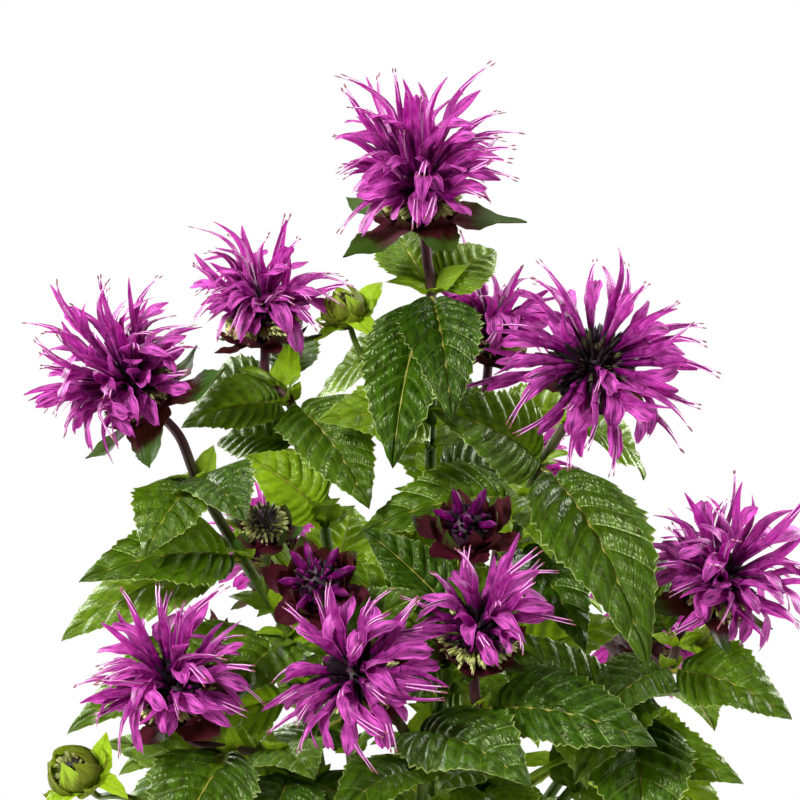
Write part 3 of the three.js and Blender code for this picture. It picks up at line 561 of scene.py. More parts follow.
def grown_stem(points, start, radii, end, stained=1):
    """One stem or shoot, with the purple stain that sets in below its head."""
    places = np.linspace(start, len(points) - 1, STEM_RINGS + (0 if start else 1))
    line = np.array([smooth_point(points, at) for at in places])
    if start:
        line = np.vstack([points[0], line])
    lengths = np.cumsum(np.linalg.norm(np.diff(line, axis=0, prepend=line[:1]), axis=1))
    widths = between(radii[0], radii[1], np.linspace(0, 1, len(line)))
    moved, ring = bent_rod(square_pattern, line, widths, end)
    stain = np.clip(STAIN_AT_HEAD - (lengths[-1] - lengths) / STAINED_LENGTH_MM, 0, 1) + STAIN_LOW_DOWN
    return moved / 1000, square_pattern, stained * stain[ring]


for name in STEMS:
    parts = [grown_stem(stem_points(name), 1, STEM_RADIUS, HeadPlace(name).axis)]
    for stem, place, via, bud in SHOOTS:
        if stem == name:
            line = shoot_points(stem, place, via, bud)
            parts.append(grown_stem(line, 0, BRANCH_RADIUS, HeadPlace(bud).axis, SHOOT_STAIN))
    settle(assemble(f"stem_of_{name}", parts, STEM_FLESH), [f"stem_{name}"])


# Leaves: egg-shaped to lance-shaped, in opposite pairs on short round stalks. The blade is thin, forward
# toothed and glossy, puckered between sunk side veins that each run out to a tooth, and lets light through.
PETIOLE_SHARE = 0.13
BLADE_START = 0.94 * PETIOLE_SHARE
BLADE_PEAK = 0.62
LEAF_ARCH = 0.12
LEAF_CUP = 0.16
LEAF_CREST = 0.45
LEAF_FACING = (0.4, 0.8)
LEAF_WAVE = (0.04, 0.1)
LEAF_CURL = (0, 0.2)
VEINS = 9
# The grids of a large blade and of a tuft's: side veins, rows to each and columns
BLADE_GRIDS = [("blade_pattern", VEINS, 6, 18), ("sprig_pattern", 4, 3, 6)]
VEIN_SLANT = 0.9
TOOTH_STEPS = [(-0.05, 0), (-0.02, 0.003), (0.025, 0.009), (0.075, 0.018), (-0.04, 0), (0.025, 0.009)]
PUCKER = 0.09
RIB_SINK = 0.016
RIB_RADIUS_MM = (1.15, 0.25)
RIB_RINGS = 14
LEAF_DARK = "#040C00"
LEAF_MID = "#3A6006"
LEAF_BRIGHT = "#A6CA22"
LEAF_VEIN = "#86A23C"
LEAF_RIB = "#B09A4C"
# The pale edge: fine hairs and a painted rim of back light
LEAF_EDGE_HAIRS_AND_RIM_LIGHT = "#C6D67C"
LEAF_GLOW = "#B4DC22"
LEAF_SHINE = "#E4F0B4"
# What makes a leaf bright: its youth, painted back light by its place in the clump, and painted shade by its
# distance below the stem's head
OLD_LENGTH_MM = 77
YOUNG_LENGTH_MM = 7
YOUTH_TONE = 0.08
CLUMP_HALF_MM = 55
CLUMP_REACH_MM = 150
LIGHT_IN_FRONT = 0.15
LIGHT_BEHIND = 0.6
LIGHT_OUTSIDE = (0.1, 0.6)
HEAD_SHADE_REACH_MM = 90
HEAD_SHADE_SHARE = 0.15
DARKEST_TONE = -0.03
RIB_TONE = 0.25
# Tufts of young leaves in the angles of leaf and stem, and older ones low down
SPRIG_SHARES = (1, 0.6, 1, 0.6)
SPRIG_SLIMNESS = 0.5
SPRIG_TURN = 0.3
SPRIG_RISE = (0.4, 0.9)
SPRIG_WAVE = 0.04
SPRIG_CURL = 0.05
SPRIG_LENGTH_MM = (13, 24)
SPRIG_TONE = (0.25, 0.65)
LOW_TUFTS = (1.7, 2.1, 2.5, 2.9, 3.3)
LOW_LENGTH_MM = (18, 30)
LOW_TONE = (0, 0.35)

# Room that a leaf keeps to what grows round it, and how it gives way to keep it, as in the plain solids
LEAF_ROOM = 5.5
HALF_THICKNESS = 0.5
SPOT_ROWS = 10
FREE_SHARE = 0.34
HEAD_ROOM = 12
BUD_ROOM_SHARE = 1.5
TIP_ROOM = 2
# Spots from each point of a stem or shoot to the next, and the room of each
STEM_SPOTS = (24, STEM_RADIUS[0])
SHOOT_SPOTS = (12, 1.6)
SIZES_TRIED = (1, 0.82)
BEND_STEP = 7
BEND_STEPS = 6
BEND_WAYS = 8
LOWEST_LEAF = 163
# Pairs that a rule adds down each stem, at heights from 168 to 350 mm, where none is listed
PAIR_LENGTH = (76, 50)
PAIR_SLIMNESS = 0.48
PAIR_DROOP = 0.3
PAIR_TURN = 0.6
PAIR_ZONE = (168, 350)
PAIR_START = 2.5
PAIR_STEP = 0.75
PAIR_ROOM = 0.4
GOLDEN_TURN = math.pi * (3 - math.sqrt(5))

# What the heads take up: the cup, the dome, the florets and the bracts, in millimetres
CUP_HEIGHT = 5
CUP_RADIUS = 8
GAP = 0.3
DOME_CENTRE = 6
DOME_RADIUS = 9.5
FLORET_VARIATION = 0.16
FLORET_ROOM = [(0.45, 0, 2), (0.62, 0, 3), (0.8, -0.04, 4), (0.94, -0.14, 3), (0.95, 0.06, 2)]
BRACT_COUNT = 5
BRACT_HALF = 0.28
BRACT_SHORT = 0.85
BRACT_SEAT = 3.75
BRACT_ROOT = 4.5
BRACT_OPEN = [(0.55, -0.1), (1, -0.02)]
BRACT_CLOSED = [(0.5, 0.22), (0.62, 0.8)]

# Leaves listed one by one: the stem, the place on it counted in its points, tip, width, and turn to the front
LEAVES = [
    ("crown", 4, (-4, -50, 362), 40, 0.3),
    ("wheel", 4, (112, -64, 280), 46, 0.5),
    ("high_left", 4, (-12, -38, 344), 40, 0.6),
    ("low_left", 4.5, (-94, -114, 218), 46, 0.4),
    ("low_front", 3.4, (56, -120, 252), 48, 0.5),
    ("low_right", 3.5, (104, -88, 256), 42, 0.7),
    ("right", 4, (100, -84, 204), 46, 0.3),
    ("left", 5, (-88, -62, 318), 36, 0.4),
    ("left", 5, (-62, -66, 328), 34, 0.6),
    ("wheel", 4, (14, -30, 386), 40, 0.8),
    ("right", 5, (166, -38, 258), 34, 0.8),
    ("crown", 4, (36, -44, 376), 34, 0.5),
    ("crown", 4, (42, 20, 446), 27, 0.8),
    ("crown", 4, (-24, 10, 450), 29, 0.8),
    ("left", 4, (-140, -34, 282), 36, 0.9),
    ("left", 4, (-107, -60, 286), 36, 0.8),
    ("high_left", 4, (-88, -14, 384), 28, 0.9),
    ("high_left", 4.5, (-94, 24, 396), 28, 0.9),
    ("high_left", 4.3, (-36, 44, 434), 26, 0.8),
    ("right", 5, (78, -56, 258), 32, 0.5),
    ("right", 5.5, (106, 14, 334), 28, 0.6),
    ("right", 4, (128, 20, 204), 36, 0.8),
    ("right", 3.5, (58, -54, 310), 38, 0.6),
    ("crown", 3.5, (-50, 26, 394), 29, 0.9),
    ("crown", 3, (-34, -36, 380), 34, 0.8),
    ("left", 3, (-72, -60, 272), 34, 0.6),
    ("left", 3, (-142, -46, 264), 36, 0.9),
    ("left", 2.5, (-118, -26, 228), 34, 0.9),
    ("high_left", 3.5, (-80, 34, 360), 29, 0.8),
    ("high_left", 3, (-64, -8, 362), 33, 0.9),
    ("shaded", 3.5, (2, 66, 404), 30, 0.6),
    ("shaded", 4, (96, 70, 370), 34, 0.5),
    ("wheel", 3.5, (-6, -44, 352), 34, 0.8),
    ("wheel", 4.5, (108, 18, 348), 32, 0.6),
    ("wheel", 3, (76, -60, 288), 34, 0.5),
    ("low_left", 4, (-34, -104, 246), 32, 0.6),
    ("low_left", 3.5, (-58, -114, 214), 40, 0.5),
    ("low_front", 3, (-28, -112, 232), 32, 0.5),
    ("plum", 2.3, (36, -66, 250), 34, 0.6),
    ("star", 3, (-8, -60, 324), 32, 0.8),
    ("plum", 3, (58, -36, 322), 32, 0.9),
    ("plum", 3, (-2, -70, 310), 32, 0.8),
    ("crown", 2.4, (28, -34, 262), 36, 0.7),
    ("plum", 2.5, (-20, -82, 250), 36, 0.6),
    ("low_right", 2.5, (52, -104, 214), 36, 0.4),
    ("star", 2.4, (-62, -58, 214), 32, 0.5),
    ("wheel", 2.5, (92, -56, 244), 38, 0.5),
    ("plum", 3, (48, -20, 348), 28, 0.8),
    ("wheel", 2.3, (84, -30, 268), 34, 0.7),
    ("crown", 2.7, (-10, -36, 300), 32, 0.7),
    ("low_right", 2.6, (14, -90, 226), 30, 0.6),
    ("right", 3, (104, -62, 246), 34, 0.7),
    ("shaded", 3.2, (-14, 50, 372), 34, 0.6),
    ("high_left", 2.6, (-20, 44, 332), 32, 0.6),
    ("crown", 2.8, (66, 20, 330), 34, 0.6),
    ("low_left", 2.6, (-112, -44, 222), 34, 0.7),
    ("low_left", 3, (-126, -34, 246), 32, 0.8),
    ("plum", 2.6, (-26, -10, 322), 30, 0.7),
]


def dome_middle(head):
    return head.along(CUP_HEIGHT + GAP + DOME_CENTRE)


def dome_place(head, spread, number, count, shift=0):
    """A place by the golden angle over a dome: the cosine and sine of its lean, and the way it leans."""
    low, high = (math.cos(math.radians(angle)) for angle in spread)
    cos = between(low, high, (number + 0.5) / count)
    return cos, math.sqrt(1 - cos * cos), head.outward((number + shift) * GOLDEN_TURN)


def leaning(head, degrees, turn):
    """A direction that leans off a head's axis."""
    lean = math.radians(degrees)
    return head.axis * math.cos(lean) + head.outward(turn) * math.sin(lean)


def up_from(head, direction):
    """The way square to a direction that is nearest to a head's axis."""
    return unit(head.axis - direction * (head.axis @ direction))


def floret_place(head, row, number, count):
    """The way a floret grows: its line, its up, its side and its reach."""
    cos, sin, radial = dome_place(head, row["spread"], number, count)
    direction = head.axis * cos + radial * sin
    up = head.axis * sin - radial * cos
    shortened = 1 - FLORET_VARIATION * ((number * 2) % 5) / 4
    reach = row["reach"] * (1 + row["rise"] * cos * cos) * shortened
    return direction, up, np.cross(direction, up), reach


def bract_point(head, turn, length, out, rise):
    away = head.outward(turn) * (BRACT_ROOT + out * length)
    return head.along(BRACT_SEAT) + away + head.axis * rise * length


def blade_half(share):
    """Half the width of a blade one unit wide: widest a third of the way out, drawn to a point."""
    return 0.5 * np.sin(math.pi * np.clip(share, 0, 1) ** BLADE_PEAK).clip(0) ** 0.9


class LeafPlace:
    """Where a leaf leaves its stem, its tip, the crest of its arch and the way it faces."""

    def __init__(self, root, tip, width, turn):
        chord = tip - root
        self.root, self.tip, self.width = root, tip, width
        self.length = np.linalg.norm(chord)
        direction = chord / self.length
        outward, upward = LEAF_FACING
        x, y, _ = outward * unit(np.array([chord[0], chord[1], 0]))
        face = np.array([x, y - turn, upward])
        self.face = unit(face - direction * (face @ direction))
        self.side = np.cross(self.face, direction)
        self.crest = root + self.length * (LEAF_CREST * direction + 2 * LEAF_ARCH * self.face)

    def points(self, u, aside, height=0.0):
        """Points of the leaf at shares from stem to tip, distances to the left of the rib and heights."""
        u = np.asarray(u)[:, None]
        line = (1 - u) ** 2 * self.root + 2 * u * (1 - u) * self.crest + u**2 * self.tip
        way = unit((1 - u) * (self.crest - self.root) + u * (self.tip - self.crest))
        normal = unit(self.face - way * (way @ self.face)[:, None])
        return line + self.side * aside[:, None] + normal * (LEAF_CUP * np.abs(aside) + height)[:, None]

    def spots(self):
        u = np.repeat(np.arange(1, SPOT_ROWS + 1) / SPOT_ROWS, 5)
        half = self.width * blade_half(np.maximum(0, (u - PETIOLE_SHARE) / (1 - PETIOLE_SHARE)))
        return u, self.points(u, np.tile([-1, -0.5, 0, 0.5, 1], SPOT_ROWS) * half)


# The spots that a new leaf stays clear of: centre, room, the number of the stem whose leaves may come near
# and whether they may all along
stem_numbers = {name: number for number, name in enumerate(STEMS)}
spot_rows = []


def keep_clear(point, radius, owner=-1, near=0):
    spot_rows.append((*point, radius + LEAF_ROOM, owner, near))


def has_room(leaf, owner):
    u, points = leaf.spots()
    if points[:, 2].min() < LOWEST_LEAF:
        return False
    reach = spot_table[:, 3:4]
    close = ((spot_table[:, :3] > points.min(0) - reach) & (spot_table[:, :3] < points.max(0) + reach)).all(1)
    spots = spot_table[close]
    away = ((points[:, None, :] - spots[None, :, :3]) ** 2).sum(2)
    pardoned = (spots[:, 4] == owner) & ((spots[:, 5] > 0) | (u[:, None] < FREE_SHARE))
    return not ((away <= spots[:, 3] ** 2) & ~pardoned).any()


def place_leaf(stem, root, tip, width, turn):
    """Adds a leaf to its stem, with its tip moved round or shorter where it needs that to find room."""
    global spot_table
    owner = stem_numbers[stem]
    for size in SIZES_TRIED:
        near = root + (tip - root) * size
        start = LeafPlace(root, near, width * size, turn)
        for step in range(BEND_STEPS + 1):
            for way in range(BEND_WAYS if step else 1):
                angle = 2 * math.pi * way / BEND_WAYS
                shift = start.side * math.sin(angle) - start.face * math.cos(angle)
                leaf = LeafPlace(root, near + shift * step * BEND_STEP, width * size, turn)
                if has_room(leaf, owner):
                    u, points = leaf.spots()
                    room = HALF_THICKNESS + LEAF_ROOM
                    rows = [(*p, room, owner, share < FREE_SHARE) for share, p in zip(u, points)]
                    spot_table = np.vstack([spot_table, rows])
                    leaves[stem].append(leaf)
                    return


for name in [*HEADS, *BUDS]:
    head = HeadPlace(name)
    row = HEADS.get(name) or BUDS[name]
    dome = row.get("size", DOME_RADIUS)
    keep_clear(head.along(CUP_HEIGHT / 2), CUP_RADIUS)
    keep_clear(head.along(CUP_HEIGHT + dome), HEAD_ROOM if name in HEADS else BUD_ROOM_SHARE * dome)
    for number in range(row["florets"] if name in HEADS else 0):
        direction, up, _, reach = floret_place(head, row, number, row["florets"])
        for out, rise, radius in FLORET_ROOM:
            keep_clear(dome_middle(head) + direction * out * reach + up * rise * reach, radius)
    for number in range(BRACT_COUNT):
        turn = 2 * math.pi * (number + 0.5) / BRACT_COUNT
        length = row["bract"] * (BRACT_SHORT if number % 2 else 1)
        form = BRACT_OPEN if name in HEADS else BRACT_CLOSED
        keep_clear(bract_point(head, turn, length, *form[0]), BRACT_HALF * length)
        keep_clear(bract_point(head, turn, length, *form[1]), TIP_ROOM)
rods = [(name, stem_points(name), *STEM_SPOTS) for name in STEMS]
rods += [(stem, shoot_points(stem, place, via, bud), *SHOOT_SPOTS) for stem, place, via, bud in SHOOTS]
for stem, points, per_point, radius in rods:
    for step in range((len(points) - 1) * per_point + 1):
        keep_clear(smooth_point(points, step / per_point), radius, stem_numbers[stem], 1)
spot_table = np.array(spot_rows, float)

leaves = {name: [] for name in STEMS}
for stem, place, tip, width, turn in LEAVES:
    place_leaf(stem, smooth_point(stem_points(stem), place), np.array(tip, float), width, turn)
for stem, order in stem_numbers.items():
    points = stem_points(stem)
    at = len(points) - 1 - PAIR_START
    while at > 1:
        root = smooth_point(points, at)
        taken = sum(row[0] == stem and abs(row[1] - at) < PAIR_ROOM for row in LEAVES)
        if taken < 2 and PAIR_ZONE[0] <= root[2] <= PAIR_ZONE[1]:
            length = between(*PAIR_LENGTH, (root[2] - PAIR_ZONE[0]) / (PAIR_ZONE[1] - PAIR_ZONE[0]))
            for turn in (0, math.pi):
                angle = order * GOLDEN_TURN + at * math.pi + turn
                tip = root + length * np.array([math.cos(angle), math.sin(angle), -PAIR_DROOP])
                place_leaf(stem, root, tip, length * PAIR_SLIMNESS, PAIR_TURN if tip[1] < 0 else 0)
        at -= PAIR_STEP


def shaped_grid(name, rows, columns, form):
    """A grid of rows by columns faces, each point moved to form(along, across), both from 0 to 1."""
    bpy.ops.object.select_all(action="DESELECT")
    bpy.ops.mesh.primitive_grid_add(x_subdivisions=rows, y_subdivisions=columns, size=2)
    grid = bpy.context.object
    grid.name = name
    flat = (points_of(grid)[:, :2] + 1) / 2
    shaped = np.array([form(along, side) for along, side in flat])
    grid.data.vertices.foreach_set("co", shaped.ravel())
    return grid


def swell(share):
    return max(0.0, math.sin(math.pi * share))


def blade_form(veins, rows_per_vein):
    """A leaf blade, given by the shares along its margin and across its width. A row runs along a side vein,
    from the rib forward to the margin, where it meets its place on a tooth."""

    def form(along, side):
        v = 2 * side - 1
        off_rib = abs(v) ** 1.25
        rib = along - VEIN_SLANT * along * (1 - along) ** 1.1
        share = rib + (along - rib) * off_rib**1.3
        row = round(along * veins * rows_per_vein)
        is_end = row in (0, veins * rows_per_vein)
        out, forward = (0, 0) if is_end else TOOTH_STEPS[row % len(TOOTH_STEPS)]
        edge = off_rib**8
        share += forward * edge * (1 - along)
        pucker = swell(along * veins % 1) ** 0.8 * swell(off_rib**0.7) ** 0.7
        height = PUCKER * pucker * (1 - along) ** 0.15 - RIB_SINK * math.exp(-((off_rib / 0.06) ** 2))
        y = math.copysign(off_rib * blade_half(along) * (1 + out * edge), v)
        return BLADE_START + (1 - BLADE_START) * share, y, height

    return form


def growth_of(tree):
    """What each point of a grown piece carries: its chart, its shares along and across it, and its tone."""
    chart = add_node(tree, "UVMap", uv_map="growth")
    shares = add_node(tree, "SeparateXYZ", {"Vector": chart}).outputs
    tone = add_node(tree, "Attribute", attribute_name="tone").outputs["Fac"]
    return chart, shares["X"], shares["Y"], tone


def off_ribs(tree, share, count):
    """How far a point is from the nearest of so many even ribs, half a space being 0.5."""
    spaces = add_node(tree, "Math", {0: share, 1: float(count)}, operation="MULTIPLY")
    return add_node(tree, "Math", {0: spaces, 1: 0.5}, operation="PINGPONG")


def off_middle(tree, share):
    """How far a point is from the middle line, an edge being 0.5."""
    offset = add_node(tree, "Math", {0: share, 1: 0.5}, operation="SUBTRACT")
    return add_node(tree, "Math", {0: offset}, operation="ABSOLUTE")


def let_light_through(tree, surface, colour, glow, glow_share, light_share):
    """Lets a share of the light behind a thin skin through, in the skin's colour mixed with its glow's."""
    mixed = add_node(tree, "Mix", {0: glow_share, 6: colour, 7: shade(glow)}, data_type="RGBA")
    through = add_node(tree, "BsdfTranslucent", {"Color": mixed})
    both = add_node(tree, "MixShader", {0: light_share, 1: surface, 2: through})
    feed(tree, tree.nodes["Material Output"].inputs["Surface"], both)


def leaf_skin():
    material, tree, surface = new_material("living leaf", Roughness=0.34, Specular_IOR_Level=0.5)
    surface.inputs["Specular Tint"].default_value = shade(LEAF_SHINE)
    chart, along, aside, tone = growth_of(tree)
    # Side veins, midrib and edge: each mask goes from its first value to the other between two distances
    off_vein, off_rib = off_ribs(tree, along, VEINS), off_middle(tree, aside)
    ways = ((off_vein, 0.0, 0.05, 1.0), (off_rib, 0.006, 0.02, 1.0), (off_rib, 0.488, 0.499, 0.0))
    side_vein, rib, edge = (
        add_node(tree, "MapRange", {"Value": off, 1: start, 2: end, 3: first, 4: 1 - first})
        for off, start, end, first in ways
    )
    veins = add_node(tree, "Math", {0: side_vein, 1: rib}, operation="MAXIMUM")
    # The net of small veins, about three cells between two side veins
    stretched = add_node(tree, "Mapping", {"Vector": chart, "Scale": (VEINS * 3.0, 26.0, 1.0)})
    net = add_node(tree, "TexVoronoi", {"Vector": stretched, "Scale": 1.0}, feature="DISTANCE_TO_EDGE")
    cell = add_node(tree, "MapRange", {"Value": net, 1: 0.0, 2: 0.3, 3: 0.0, 4: 1.0})
    # Mottling from a few millimetres down to the grain of the skin, drawn about 0.5 mm wide so that it shows
    mottling = {"Vector": stretched, "Scale": 0.5, "Detail": 5.0, "Roughness": 0.65}
    blotch = add_node(tree, "TexNoise", mottling)
    mottled = add_node(tree, "MapRange", {"Value": blotch, 1: 0.3, 2: 0.7, 3: 0.0, 4: 1.0})
    # The young green, and the painted back light that the tone carries, show first where the skin is pale
    greening = add_node(tree, "Math", {0: mottled, 1: 0.7, 2: 0.55}, operation="MULTIPLY_ADD")
    young = add_node(tree, "Math", {0: tone, 1: greening}, operation="MULTIPLY", use_clamp=True)
    # Veins, midrib and edge are paler, each by its own share; the pale edge is fine hairs and in part a
    # painted rim of back light
    layers = [(mottled, LEAF_MID), (young, LEAF_BRIGHT)]
    for mask, share, tint in ((veins, 0.25, LEAF_VEIN), (rib, 0.6, LEAF_RIB), (edge, 0.5, LEAF_EDGE_HAIRS_AND_RIM_LIGHT)):
        layers.append((add_node(tree, "Math", {0: mask, 1: share}, operation="MULTIPLY"), tint))
    colour = shade(LEAF_DARK)
    for share, tint in layers:
        colour = add_node(tree, "Mix", {0: share, 6: colour, 7: shade(tint)}, data_type="RGBA")
    # Cells swell between the net, and the veins lie sunk
    sunk = add_node(tree, "Math", {0: veins, 1: -2.2, 2: 1.0}, operation="MULTIPLY_ADD")
    swollen = add_node(tree, "Math", {0: cell, 1: sunk}, operation="ADD")
    relief = add_node(tree, "Math", {0: blotch, 1: 1.5, 2: swollen}, operation="MULTIPLY_ADD")
    lay_skin(tree, surface, colour, relief, 0.0004, 0.45)
    glow_share = add_node(tree, "Math", {0: tone, 1: 1.0, 2: 0.05}, operation="MULTIPLY_ADD")
    let_light_through(tree, surface, colour, LEAF_GLOW, glow_share, 0.33)
    return material


LEAF_SKIN = leaf_skin()
blade_pattern, sprig_pattern = (
    pattern_of(shaped_grid(name, veins * rows, columns, blade_form(veins, rows)))
    for name, veins, rows, columns in BLADE_GRIDS
)
rib_pattern = pattern_of(drawn_rod("rib_pattern", 6, RIB_RINGS))
# The rib's skin is the blade's own between two side veins, on the midrib
rib_pattern[2][:] = (0.5 / VEINS, 0.5)
leaf_draw = np.random.default_rng(11)


def spread_blade(pattern, leaf, wave, curl, phase):
    """A pattern blade laid on a leaf's place, waved along its edges, its tip curled under."""
    u, y, z = pattern[0].T
    side = np.where(y > 0, 1.7, 0.0)
    waves = wave * np.sin(2 * math.pi * (1.6 * u + phase) + side) * np.abs(2 * y) ** 1.5
    height = leaf.width * (z + waves - curl * u**3)
    return leaf.points(u, y * leaf.width, height) / 1000


def leaf_rib(leaf, curl, radii):
    """The round stalk that runs on as the midrib, half sunk in the blade's underside."""
    u = np.linspace(0.01, 0.97, RIB_RINGS + 1)
    widths = between(radii[0], radii[1], np.clip((u - 0.1) / 0.87, 0, 1) ** 0.7)
    sunk = -0.8 * widths * (u > 0.08) - leaf.width * curl * u**3
    line = leaf.points(u, np.zeros(len(u)), sunk)
    return bent_rod(rib_pattern, line, widths)[0] / 1000


def sprig_leaves(stem, place, length):
    """A tuft of young leaves in the angle of a leaf and its stem: one pair, and a shorter one across it."""
    points = stem_points(stem)
    root = smooth_point(points, place)
    way = unit(smooth_point(points, min(place + 0.1, len(points) - 1)) - smooth_point(points, place - 0.1))
    turn = leaf_draw.uniform(0, 2 * math.pi)
    first, second = across(way)
    for quarter, share in enumerate(SPRIG_SHARES):
        angle = turn + quarter * math.pi / 2
        out = first * math.cos(angle) + second * math.sin(angle)
        tip = root + length * share * unit(way * leaf_draw.uniform(*SPRIG_RISE) + out)
        yield LeafPlace(root, tip, length * share * SPRIG_SLIMNESS, SPRIG_TURN)


def leaf_tone_and_painted_light(leaf, head):
    """How bright and see-through a leaf is: the most on short leaves and, by painted back light, at the back
    and far out; the least close under a head, in painted shade."""
    youth = np.clip((OLD_LENGTH_MM - leaf.length) / (OLD_LENGTH_MM - YOUNG_LENGTH_MM), 0, 1)
    # Painted back light: brighter at the back of the clump and far out; painted shade: darker close under the
    # head
    depth = np.clip((leaf.crest[1] + CLUMP_HALF_MM) / (2 * CLUMP_HALF_MM), 0, 1)
    outward = np.clip(np.hypot(*leaf.tip[:2]) / CLUMP_REACH_MM, 0, 1) ** 2
    head_shade = np.clip(np.linalg.norm(leaf.root - head.at) / HEAD_SHADE_REACH_MM, HEAD_SHADE_SHARE, 1)
    light = LIGHT_IN_FRONT + LIGHT_BEHIND * depth + outward * between(*LIGHT_OUTSIDE, depth)
    return np.clip(DARKEST_TONE + YOUTH_TONE * youth + head_shade * light * leaf_draw.uniform(), 0, 1)


for name in STEMS:
    copies = []
    for leaf in leaves[name]:
        tone = leaf_tone_and_painted_light(leaf, HeadPlace(name))
        curl = leaf_draw.uniform(*LEAF_CURL)
        moved = spread_blade(blade_pattern, leaf, leaf_draw.uniform(*LEAF_WAVE), curl, leaf_draw.uniform())
        copies.append((moved, blade_pattern, tone))
        copies.append((leaf_rib(leaf, curl, RIB_RADIUS_MM), rib_pattern, tone + RIB_TONE))
    # Low down the tufts are older, and stand also where the large leaves have dropped
    upper = sorted({place for stem, place, *_ in LEAVES if stem == name})
    lower = [place for place in LOW_TUFTS if place < len(STEMS[name])]
    for place in upper + lower:
        lengths, tones = (LOW_LENGTH_MM, LOW_TONE) if place in lower else (SPRIG_LENGTH_MM, SPRIG_TONE)
        for leaf in sprig_leaves(name, place, leaf_draw.uniform(*lengths)):
            moved = spread_blade(sprig_pattern, leaf, SPRIG_WAVE, SPRIG_CURL, 0)
            copies.append((moved, sprig_pattern, leaf_draw.uniform(*tones)))
    if copies:
        settle(assemble(f"leaves_of_{name}", copies, LEAF_SKIN), [f"stem_{name}"])


# Cups and bracts: each head sits on a flat cup ringed by leafy bracts, two whorls of them, stained dark
# maroon with green points. They are thin and a little waxy, with curled edges.
BRACT_ROWS = 14
BRACT_COLUMNS = 8
BRACT_WAVE = 0.2
BRACT_CURL = (-0.12, 0.1)
BRACT_SWAY = 0.12
INNER_BRACTS = 7
INNER_SHIFT = 0.2
INNER_LENGTH_MM = 20
INNER_SIZES = (0.85, 1.1)
INNER_LIFT = (-0.1, 0.15)
INNER_FIT = {"broad": 1.8, "wrap": 0.8}
INNER_TONE = (0.1, 0.6)
CUP_TONE = 0.2
BRACT_TONE = (0.5, 1.2)
LEAFY_TONE = (0.9, 1.8)
LEAFY_LENGTH_MM = 30
BRACT_HUGGING = [(0.46, 0.0), (0.74, 0.36)]
CUP_RINGS_MM = [(0.3, 2.6), (1.2, 4.4), (2.5, 6.4), (4.2, 7.8), (5, 8), (6.5, 7.4)]
BRACT_MAROON = "#26060F"
BRACT_WINE = "#4C1024"
BRACT_GREEN = "#2A4A10"
BRACT_GLOW = "#86482C"


def bract_form(along, side):
    v = 2 * side - 1
    width = 0.56 * swell(min(1, 0.08 + 0.92 * along) ** 0.75) ** 0.8 * (1 - along) ** 0.15 + 0.1 * (1 - along)
    notch = 1 - 0.09 * (round(along * BRACT_ROWS) % 2) * (abs(v) > 0.9) * (along > 0.3)
    return along, v * width / 2 * notch, 0.1 * abs(v) ** 1.4 * width - 0.02 * math.exp(-((v / 0.15) ** 2))


def cup_and_core(head, rings):
    """A round body along a head's axis, through (rise, radius) pairs in millimetres."""
    line = np.array([head.along(rise) for rise, _ in rings])
    radii = np.array([radius for _, radius in rings], float)
    return bent_rod(core_pattern[len(rings)], line, radii)[0] / 1000


def laid_bract(head, turn, length, form, draw, lift=0, broad=1, wrap=0):
    """A bract on its head: out and up along its form's two points, wrapped round the head by a share."""
    x, y, z = bract_pattern[0].T
    (mid_out, mid_up), (tip_out, tip_up) = form
    bend_out, bend_up = 2 * mid_out - tip_out / 2, 2 * mid_up - tip_up / 2
    out = 2 * x * (1 - x) * bend_out + x * x * tip_out
    rise = 2 * x * (1 - x) * bend_up + x * x * tip_up + lift * x
    wave = BRACT_WAVE * np.sin(2 * math.pi * (1.4 * x + draw.uniform())) * y
    curl = draw.uniform(*BRACT_CURL) * x**3
    away = BRACT_ROOT + out * length
    aside = broad * y * length + draw.uniform(-BRACT_SWAY, BRACT_SWAY) * length * x * x
    tangent = np.cross(head.axis, head.outward(turn))
    points = head.along(BRACT_SEAT) + head.outward(turn + wrap * aside / np.maximum(away, 3)) * away[:, None]
    points = points + head.axis * ((rise + z + wave + curl) * length)[:, None]
    return (points + tangent * ((1 - wrap) * aside)[:, None]) / 1000


def bract_skin(name, dark, light, tip, glow, see_through):
    material, tree, surface = new_material(name, Roughness=0.55, Specular_IOR_Level=0.12)
    chart, along, aside, tone = growth_of(tree)
    stretched = add_node(tree, "Mapping", {"Vector": chart, "Scale": (3.0, 9.0, 1.0)})
    blotch = add_node(tree, "TexNoise", {"Vector": stretched, "Scale": 1.0, "Detail": 4.0})
    # Green sets in towards the point in a ragged line, further down on a bract with a high tone
    to_point = add_node(tree, "Math", {0: along, 1: tone}, operation="MULTIPLY")
    ragged = add_node(tree, "Math", {0: blotch, 1: 0.8, 2: to_point}, operation="MULTIPLY_ADD")
    greened = add_node(tree, "MapRange", {"Value": ragged, 1: 0.85, 2: 1.05, 3: 0.0, 4: 1.0})
    colour = shade(dark)
    for share, tint in ((blotch, light), (greened, tip)):
        colour = add_node(tree, "Mix", {0: share, 6: colour, 7: shade(tint)}, data_type="RGBA")
    # Ribs run lengthwise, nine to a bract
    lay_skin(tree, surface, colour, off_ribs(tree, aside, 9), 0.0004, 0.5)
    let_light_through(tree, surface, colour, glow, 0.5, see_through)
    return material


BRACT_SKIN = bract_skin("maroon bract", BRACT_MAROON, BRACT_WINE, BRACT_GREEN, BRACT_GLOW, 0.15)
bract_pattern = pattern_of(shaped_grid("bract_pattern", BRACT_ROWS, BRACT_COLUMNS, bract_form))
# Rods with as many rings of points as the cups and cores have
core_pattern = {count: pattern_of(drawn_rod("core_pattern", 20, count - 1)) for count in (5, 6, 8)}
bract_draw = np.random.default_rng(17)

